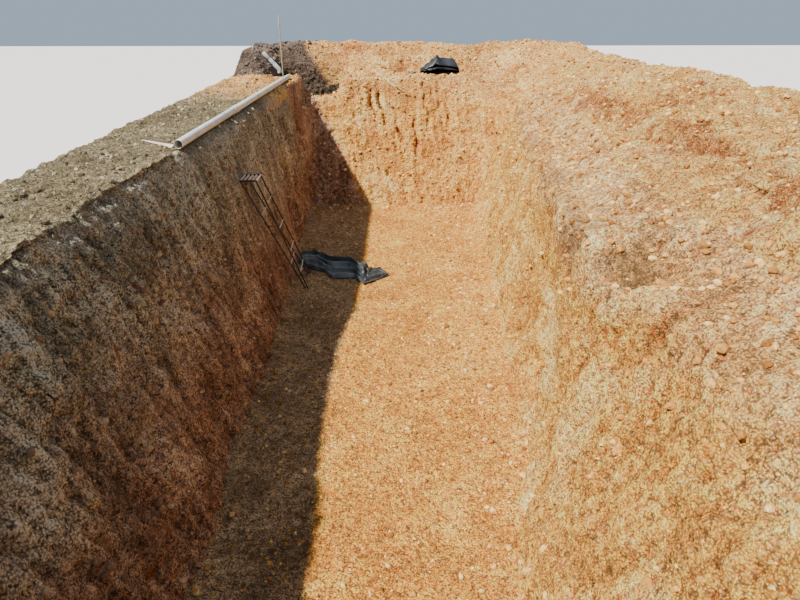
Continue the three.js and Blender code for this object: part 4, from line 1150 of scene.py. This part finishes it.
def worn_paint(name, paint, bare, rust, wear=0.5):
    """Old paint, rubbed bare and rusted in patches, with dried mud."""
    coat = Finish(name, roughness=0.55, specular=0.4)
    rubbed = coat.grain(0.05, detail=8, rough=0.75)
    tone = coat.blend(coat.ramp(rubbed, (wear, 0.0), (wear + 0.06, 1.0)), paint, bare)
    rusted = coat.grain(0.12, detail=8, rough=0.8)
    tone = coat.blend(coat.ramp(rusted, (0.53, 0.0), (0.66, 0.9)), tone, rust)
    mud = coat.ramp(coat.grain(0.3, detail=6, rough=0.7), (0.58, 0.0), (0.7, 0.7))
    tone = coat.blend(mud, tone, "a87f58")
    coat.colour(tone)
    coat.feed(coat.shader.inputs["Metallic"], coat.ramp(rubbed, (wear, 0.0), (wear + 0.06, 0.5)))
    coat.feed(coat.shader.inputs["Roughness"], coat.ramp(rusted, (0.45, 0.42), (0.66, 0.9)))
    coat.relief(coat.sum((rusted, 1.0), (rubbed, 0.5)), strength=0.4, distance=0.002)
    return coat.material


LEG_PAINT = worn_paint("leg_paint", "26282b", "54575a", "5a3020")
RUNG_PAINT = worn_paint("rung_paint", "c9bfb6", "a9a7a3", "8a5234", wear=0.58)

platform_low, platform_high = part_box("stand_platform")
front_low, front_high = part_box("stand_front_frame")
rear_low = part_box("stand_rear_frame")[0]
TUBE_RADIUS = 0.0125
RUNG_RADIUS = 0.009
LEG_RIM = 0.0015
STAND_FOOT_Z = front_low.z
UNDER_PLATFORM = front_high.z
HEAD_NEAR_Y = platform_low.y + TUBE_RADIUS
HEAD_FAR_Y = platform_high.y - TUBE_RADIUS
FRONT_FEET = (at(-1.456, 10.331), at(-1.490, 11.0))
FOOT_SPACING = 0.045


def two_paints(bar, pale):
    """Gives a bar both paints, and all its faces the pale or the dark one."""
    clad(bar, LEG_PAINT, RUNG_PAINT)
    for face in bar.data.polygons:
        face.material_index = 1 if pale else 0


def stand_frame(label, feet, head_x, heights):
    """Two legs and the bars between them."""
    heads = [Vector((head_x, head_y, UNDER_PLATFORM + 0.004)) for head_y in (HEAD_NEAR_Y, HEAD_FAR_Y)]
    feet = [Vector((foot.x, foot.y, STAND_FOOT_Z)) for foot in feet]
    bars = [laid_cylinder(foot, head, TUBE_RADIUS, 20) for foot, head in zip(feet, heads)]
    for z in heights:
        t = (z - STAND_FOOT_Z) / (UNDER_PLATFORM - STAND_FOOT_Z)
        bars.append(laid_cylinder(feet[0].lerp(heads[0], t), feet[1].lerp(heads[1], t), RUNG_RADIUS, 16))
    for leg in bars[:2]:
        eased(leg, LEG_RIM)
    for bar in bars:
        two_paints(bar, bar in bars[2:])
    return merged(label, *bars)


front_frame = stand_frame("stand_front_bars", FRONT_FEET, platform_high.x - TUBE_RADIUS,
                          (2.13, 1.64, 1.17, 0.71))
settled(front_frame, "slat_steel", ["stand_front_frame"])
rear_feet = [foot - Vector((FOOT_SPACING, 0, 0)) for foot in FRONT_FEET]
rear_frame = stand_frame("stand_rear_bars", rear_feet, rear_low.x + TUBE_RADIUS, (1.9, 0.9))
settled(rear_frame, "stand_steel", ["stand_rear_frame"])


BOARD_RIM = 0.002


def board(low, high):
    """A straight bar between two corners, with its edges eased."""
    piece = block(low, high)
    eased(piece, BOARD_RIM)
    return piece


PLATFORM_BAR = 0.025
SLAT_WIDTH = 0.022
SLAT_COUNT = 5
end_bars = [board(platform_low, Vector((platform_high.x, platform_low.y + PLATFORM_BAR, platform_high.z))),
            board(Vector((platform_low.x, platform_high.y - PLATFORM_BAR, platform_low.z)), platform_high)]
slats = []
for k in range(SLAT_COUNT):
    slat_x = platform_low.x + k / (SLAT_COUNT - 1) * (platform_high.x - platform_low.x - SLAT_WIDTH)
    slats.append(board(Vector((slat_x, platform_low.y + 0.005, platform_low.z + 0.006)),
                       Vector((slat_x + SLAT_WIDTH, platform_high.y - 0.005, platform_high.z - 0.0005))))
for bar in end_bars + slats:
    two_paints(bar, bar in slats)
settled(merged("stand_slats", *end_bars, *slats), "slat_steel", ["stand_platform"])

bolt_low, bolt_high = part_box("stand_tie_bolt")
NUT_WIDTH = 0.008


def bolt_length(start_x, end_x, radius, sides):
    """A length of the tie bolt's line, round or six-sided."""
    y, z = (bolt_low.y + bolt_high.y) / 2, (bolt_low.z + bolt_high.z) / 2
    return laid_cylinder(Vector((start_x, y, z)), Vector((end_x, y, z)), radius, sides)


bolt = bolt_length(bolt_low.x, bolt_high.x, 0.0066, 16)
nuts = [bolt_length(x, x + NUT_WIDTH, 0.012, 6) for x in (bolt_low.x + 0.001, bolt_high.x - 0.009)]
settled(merged("stand_bolt", bolt, *nuts), "stand_steel", ["stand_tie_bolt"], LEG_PAINT)

# Stake and stick


def stem(label, start, end, rings, sides):
    """A stem from start to end. Each ring is a share of its length, a radius and a shift to the side."""
    run = end - start
    bpy.ops.object.select_all(action="DESELECT")
    bpy.ops.mesh.primitive_circle_add(vertices=sides, radius=rings[0][1], fill_type="NGON")
    piece = bpy.context.object
    piece.name = label
    with all_in_edit_mode():
        for (share, radius, shift), (last_share, last_radius, last_shift) in zip(rings[1:], rings):
            step = (shift - last_shift, 0, (share - last_share) * run.length)
            bpy.ops.mesh.extrude_region_move(TRANSFORM_OT_translate={"value": step})
            size = radius / last_radius
            bpy.ops.transform.resize(value=(size, size, size), center_override=(shift, 0, share * run.length))
        bpy.ops.mesh.select_all(action="SELECT")
        bpy.ops.mesh.normals_make_consistent(inside=False)
    piece.rotation_euler = run.to_track_quat("Z", "Y").to_euler()
    piece.location = start
    bpy.ops.object.transform_apply(location=True, rotation=True)
    return piece


def cane(name, colours, turn=(0, 0, 0)):
    """Weathered pole: long fibres and stains."""
    wood = Finish(name, roughness=0.7, specular=0.2)
    fibres = wood.grain(0.9, detail=7, rough=0.7, place=wood.stretched((14.0, 14.0, 1.2), turn))
    stains = wood.grain(0.25, detail=5, rough=0.6)
    tone = shades(wood, fibres, colours, stops=(0.3, 0.5, 0.7))
    tone = wood.overlaid(0.5, tone, stains, (0.3, 0.3), (0.7, 0.72))
    wood.colour(tone)
    wood.relief(fibres, strength=0.4, distance=0.002)
    return wood.material


stake_low, stake_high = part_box("marker_stake")
stake_x, stake_y = (stake_low.x + stake_high.x) / 2, (stake_low.y + stake_high.y) / 2
cane_rings = [(0.0, 0.0145, 0.0)]
for joint in (0.07, 0.21, 0.35, 0.49, 0.62, 0.75, 0.87):
    cane_rings += [(joint + off, radius, 0) for off, radius in
                   ((-0.006, 0.0132), (-0.002, 0.0148), (0, 0.0136), (0.002, 0.0148), (0.006, 0.0132))]
cane_rings += [(0.999, 0.0125, 0.0), (1.0, 0.0115, 0.0)]
stake = stem("marker_cane", Vector((stake_x, stake_y, stake_low.z)), Vector((stake_x, stake_y, stake_high.z)),
             cane_rings, sides=16)
settled(stake, "wood", ["marker_stake"], cane("cane", ("77775c", "a3a37f", "c3c1a0")))


FAR_CREST = 16.8
STICK_RADIUS = 0.0127


def face_place(x, t):
    """A place on the far wall's face, t of the way up it, a stick's radius out."""
    lean = Vector((FAR_CREST - FAR_BASE, GROUND_Z - FLOOR_Z))
    out = Vector((-lean.y, lean.x)).normalized() * STICK_RADIUS
    return at(x, FAR_BASE + lean.x * t + out.x, FLOOR_Z + lean.y * t + out.y)


stick_rings = [(0.0, 0.006, 0.0), (0.01, 0.0105, 0.0), (0.16, 0.0115, 0.0015), (0.33, 0.0112, -0.001),
               (0.5, 0.0105, 0.001), (0.63, 0.0108, 0.0015), (0.78, 0.0095, 0.0), (0.9, 0.0085, -0.0015),
               (0.99, 0.0075, 0.0), (1.0, 0.004, 0.0)]
stick = stem("bark_stick", face_place(-0.33, 1.06), face_place(0.59, 0.847), stick_rings, sides=10)
BARE_WOOD = cane("bare_wood", ("cdb98c", "efe0b6", "fff6dc"), turn=(0, 66, 20))
BARK = cane("bark", ("2e241b", "4a3a2b", "6b5540"), turn=(0, 66, 20))
settled(stick, "wood", ["wooden_stick"], BARE_WOOD, BARK)
for face in stick.data.polygons:
    face.material_index = 1 if face.center.x > at(0.22, 0).x else 0

# Membrane: the sheet on the floor, the bundle and the scrap


def film(name, base, painted_sheen, dust, dusty_from=0.95, open_end=None):
    """Black film: smooth and slightly glossy, with a painted sheen in patches, and dust where it lies open
    and flat.

    open_end is where, along X, the part that lies in the sun begins. It is painted darker there, as painted
    shade, and dustier.
    """
    skin = Finish(name, roughness=0.42, specular=0.38)
    wrinkles = skin.grain(0.06, detail=6, rough=0.6)
    cloudy = skin.grain(0.4, detail=4)
    tone = skin.blend(skin.ramp(cloudy, (0.4, 0.0), (0.65, 0.8)), base, painted_sheen)
    if open_end is not None:
        painted_shade_on_sun_end = skin.span(skin.along("X"), open_end - 0.30, open_end - 0.12)
        tone = skin.blend(skin.sum((painted_shade_on_sun_end, 0.85)), tone, "141618")
    upward = skin.add("SeparateXYZ", {"Vector": skin.add("NewGeometry").outputs["Normal"]}).outputs["Z"]
    fine = skin.grain(0.12, detail=8, rough=0.8)
    dusting = skin.sum((upward, 0.45), (fine, 0.8))
    if open_end is not None:
        towards_end = skin.span(skin.along("X"), open_end - 0.35, open_end)
        dusting = skin.sum((dusting, 1.0), (towards_end, 0.16))
    dusty = 0.7 * dusty_from
    share = skin.ramp(skin.sum((dusting, 0.7)), (dusty, 0.0), (dusty + 0.12, 0.6))
    tone = skin.blend(share, tone, dust)
    skin.colour(tone)
    skin.feed(skin.shader.inputs["Roughness"], skin.ramp(share, (0.0, 0.42), (0.8, 0.85)))
    skin.relief(wrinkles, strength=0.35, distance=0.004)
    return skin.material


def ridge(value, middle, width):
    return math.exp(-((value - middle) / width) ** 2)


def crumple(a, b, seed):
    """Crossed creases between -1 and 1, sharp on their ridges."""
    first = field.noise((a, b, seed))
    second = field.noise((a * 2.3 + 5, b * 2.3, seed))
    return (1 - 3 * abs(first)) * 0.6 + (1 - 3 * abs(second)) * 0.4


def along_line(line, t):
    """The place at t of the way along a line of [x, s] points, evenly by number of points."""
    k = min(int(t * (len(line) - 1)), len(line) - 2)
    f = t * (len(line) - 1) - k
    f = f * f * (3 - 2 * f) * 0.4 + f * 0.6
    return [line[k][i] + (line[k + 1][i] - line[k][i]) * f for i in (0, 1)]


def film_surface(label, columns, rows, place_of, thickness=0.003):
    """A film whose points are set one by one from place_of(u, v), with a real thickness."""
    bpy.ops.object.select_all(action="DESELECT")
    bpy.ops.mesh.primitive_grid_add(x_subdivisions=columns, y_subdivisions=rows, size=1, location=(0, 0, 0))
    piece = bpy.context.object
    piece.name = label
    for vertex in piece.data.vertices:
        vertex.co = place_of(vertex.co.x + 0.5, vertex.co.y + 0.5)
    with all_in_edit_mode():
        bpy.ops.mesh.normals_make_consistent(inside=False)
    area = sum(face.area for face in piece.data.polygons)
    finish_modifier(piece, "SOLIDIFY", thickness=thickness, offset=0)
    print(label, "area", round(area, 2))
    return piece


# The sheet's near and far edges in plan, and its lifted peaks as (u, v, width, height)
SHEET_NEAR = [(-1.79, 11.42), (-1.56, 11.20), (-1.22, 10.99), (-1.03, 10.72), (-0.62, 10.75),
              (-0.44, 10.40), (-0.21, 10.56), (0.0, 10.80)]
SHEET_FAR = [(-1.77, 11.56), (-1.72, 11.86), (-1.48, 11.99), (-1.22, 11.79), (-0.77, 11.68),
             (-0.57, 11.32), (-0.33, 11.12), (-0.13, 11.18), (0.01, 10.86)]
SHEET_PEAKS = [(0.10, 0.94, 0.045, 0.16), (0.24, 0.96, 0.035, 0.15), (0.70, 0.86, 0.05, 0.16),
               (0.04, 0.55, 0.05, 0.05)]
# Long ridges: height, place across, share of the wander, half width, and the swelling along them
SHEET_RIDGES = [(0.055, 0.10, 0.6, 0.07, 0.0, 0.0, 0.0), (0.120, 0.32, 1.0, 0.065, 0.25, 8, 1.0),
                (0.145, 0.60, 1.0, 0.07, 0.2, 6, 2.4), (0.112, 0.88, 0.5, 0.075, 0.0, 0.0, 0.0)]
# Folds across the sheet at its knot: height, place along, slant, half width, place across and reach
SHEET_KNOTS = [(0.10, 0.685, 0.06, 0.020, 0.72, 0.20), (0.07, 0.745, 0.10, 0.016, 0.80, 0.16),
               (-0.05, 0.715, 0.0, 0.014, 0.6, 0.3)]
SHEET_HIGHEST = 0.176


def sheet_place(u, v):
    """The crumpled sheet: long ridges that wander, lifted peaks on the far edge, a flatter right end."""
    wander = 0.05 * math.sin(5.2 * u + 0.6) + 0.03 * math.sin(13 * u)
    slip = v + 0.035 * math.sin(2 * math.pi * (2.4 * v + 1.3 * u))
    near, far = along_line(SHEET_NEAR, u), along_line(SHEET_FAR, u)
    body = 1 / (1 + math.exp((u - 0.70) * 26))
    height = body * sum(tall * ridge(v, middle + part * wander, width)
                        * (1 - swell + swell * math.sin(often * u + start))
                        for tall, middle, part, width, swell, often, start in SHEET_RIDGES)
    height += (1 - body) * (0.06 * ridge(v, 0.72 - 0.5 * (u - 0.7), 0.16)
                            + 0.045 * ridge(v, 0.25 + 0.4 * (u - 0.7), 0.10))
    for tall, knot_u, slant, width, knot_v, reach in SHEET_KNOTS:
        height += tall * ridge(u, knot_u + slant * (v - 0.7), width) * ridge(v, knot_v, reach)
    height *= min(1, 0.4 + 6 * u, 7 * (1 - u) + 0.2)
    for peak_u, peak_v, width, tall in SHEET_PEAKS:
        height += tall * max(0, 1 - math.hypot((u - peak_u) / width, (v - peak_v) / 0.12)) ** 1.3
    creases = crumple(u * 6, v * 7, 2.0) * 0.024 + crumple(u * 15 + 3, v * 13, 7.0) * 0.009
    height = 0.012 + min(SHEET_HIGHEST, max(0, height + creases))
    x = near[0] + (far[0] - near[0]) * slip
    s = near[1] + (far[1] - near[1]) * slip - 0.30 * height * body
    return at(x, min(s, 12.0), FLOOR_Z + height)


# The sheet's grey base and lighter patches are a painted reflection of the sky; its end in the sun is painted
# darker, as painted shade
FILM = film("film", "434b50", "788285", "84745c", open_end=at(-0.33, 0).x)
BUNDLE_FILM = film("bundle_film", "17191c", "31363d", "8f7a60", dusty_from=1.02)
GREY_FILM = film("grey_film", "55585c", "777b80", "a58d6c", dusty_from=0.9)
sheet = film_surface("membrane_film", 130, 72, sheet_place)
settled(sheet, "membrane", ["membrane_sheet"], FILM)

# The bundle's section, fold over fold, as (depth, height)
BUNDLE_FOLDS = [(-0.24, 0.015), (0.0, 0.02), (0.22, 0.03), (0.285, 0.06), (0.23, 0.10), (0.0, 0.11),
                (-0.20, 0.105), (-0.29, 0.125), (-0.25, 0.16), (0.0, 0.18), (0.19, 0.19), (0.245, 0.22),
                (0.18, 0.255), (-0.02, 0.25), (-0.18, 0.215), (-0.255, 0.235), (-0.20, 0.32),
                (-0.06, 0.43), (0.10, 0.40), (0.22, 0.29), (0.285, 0.15), (0.30, 0.02)]
BUNDLE_TOP = 0.462
BUNDLE_PLACE = (1.48, 18.0)
# Where the bundle's creases fan out from, in half lengths from its middle
CREASE_START = -1.25


def smooth_through(line, t):
    """The place at t of the way along a smooth curve through a line of points."""
    last = len(line) - 1
    k = min(int(t * last), last - 1)
    f = t * last - k
    around_it = zip(line[max(0, k - 1)], line[k], line[k + 1], line[min(last, k + 2)])
    return [0.5 * (2 * b + (c - a) * f + (2 * a - 5 * b + 4 * c - d) * f ** 2
                   + (3 * b - a - 3 * c + d) * f ** 3) for a, b, c, d in around_it]


def bundle_place(u, v):
    """The bundle: one film folded to and fro in a heap, with its last fold drawn over the top."""
    depth, height = smooth_through(BUNDLE_FOLDS, v)
    t = 2 * u - 1
    share = height / 0.45
    rounded = math.sqrt(max(0, 1 - abs(t) ** (1.7 if t < 0 else 3.4)))
    lower = 0.22 + 0.64 * rounded + 0.14 * ridge(t, -0.2, 0.22)
    narrow = math.sqrt(max(0.08, 1 - 0.75 * abs(t) ** 3))
    fan = math.atan2(height + 0.02, 0.5 * (t - CREASE_START))
    drawn = 0.030 * (1 - 2 * abs(math.sin(13 * fan + 1.6 * field.noise((u * 3, v * 3, 5.0))))) * share
    creases = crumple(u * 5, v * 13, 4.0) * 0.016 + crumple(u * 14, v * 24, 9.0) * 0.007
    x = BUNDLE_PLACE[0] + 0.545 * t * (1 - (0.26 if t < 0 else 0.12) * share ** 2) + 0.02 * math.sin(9 * v)
    s = BUNDLE_PLACE[1] + depth * narrow + creases + drawn + 0.02 * math.sin(7 * u + 6 * v)
    z = max(0.008, height * lower + creases * 0.9 + drawn + 0.012 * math.sin(11 * u + 5 * v) * share)
    return at(x, min(max(s, 17.68), 18.32), GROUND_Z + min(z, BUNDLE_TOP))


bundle = film_surface("membrane_heap", 64, 140, bundle_place)
settled(bundle, "membrane", ["membrane_bundle"], BUNDLE_FILM)


def scrap_place(u, v):
    """The scrap: a small piece, crumpled, with its edges turned up."""
    across, along = 2 * u - 1, 2 * v - 1
    reach = math.sqrt(max(0.0, 1 - 0.35 * along ** 2))
    height = 0.006 + 0.020 * max(0, crumple(u * 2.5, v * 3, 1.0)) + 0.012 * abs(across) ** 3
    return at(0.74 + 0.14 * across * reach, 18.05 + 0.082 * along * math.sqrt(max(0, 1 - 0.35 * across ** 2)),
              GROUND_Z + 0.004 + min(height, 0.030))


scrap = film_surface("membrane_rag", 40, 26, scrap_place, thickness=0.002)
settled(scrap, "membrane", ["membrane_scrap"], GREY_FILM)

# Floor, light and camera

bpy.ops.mesh.primitive_plane_add(size=160)
stage = bpy.context.object
stage.name = "studio_floor"
pale = Finish("studio_floor_finish", roughness=0.9, specular=0.1)
pale.colour(tint("d9d7d2"))
clad(stage, pale.material)

world = bpy.context.scene.world or bpy.data.worlds.new("studio")
bpy.context.scene.world = world
world.use_nodes = True
sky = world.node_tree.nodes["Background"]
sky.inputs["Color"].default_value = (0.64, 0.80, 1.0, 1)
sky.inputs["Strength"].default_value = 0.58

bpy.ops.object.light_add(type="SUN", location=at(-8, -4, 12))
sun = bpy.context.object
sun.name = "key_light"
sun.data.energy = 10.6
sun.data.angle = math.radians(1.5)
sun.data.color = (1.0, 0.95, 0.87)
# The way that the sunlight goes
SUN_TRAVEL = Vector((0.55, 0.30, -0.80))
sun.rotation_euler = SUN_TRAVEL.to_track_quat("-Z", "Y").to_euler()

# The camera stands over the near rim, 1.65 m above the ground, and looks 26.1 degrees down
EYE_PLACE = (-0.8, -10.1, 4.95)
EYE_TURN = (math.radians(63.9), 0, math.radians(-1.28))
bpy.ops.object.camera_add(location=EYE_PLACE, rotation=EYE_TURN)
camera = bpy.context.object
camera.data.sensor_width = 36
camera.data.lens = 27
camera.data.clip_end = 300
bpy.context.scene.camera = camera
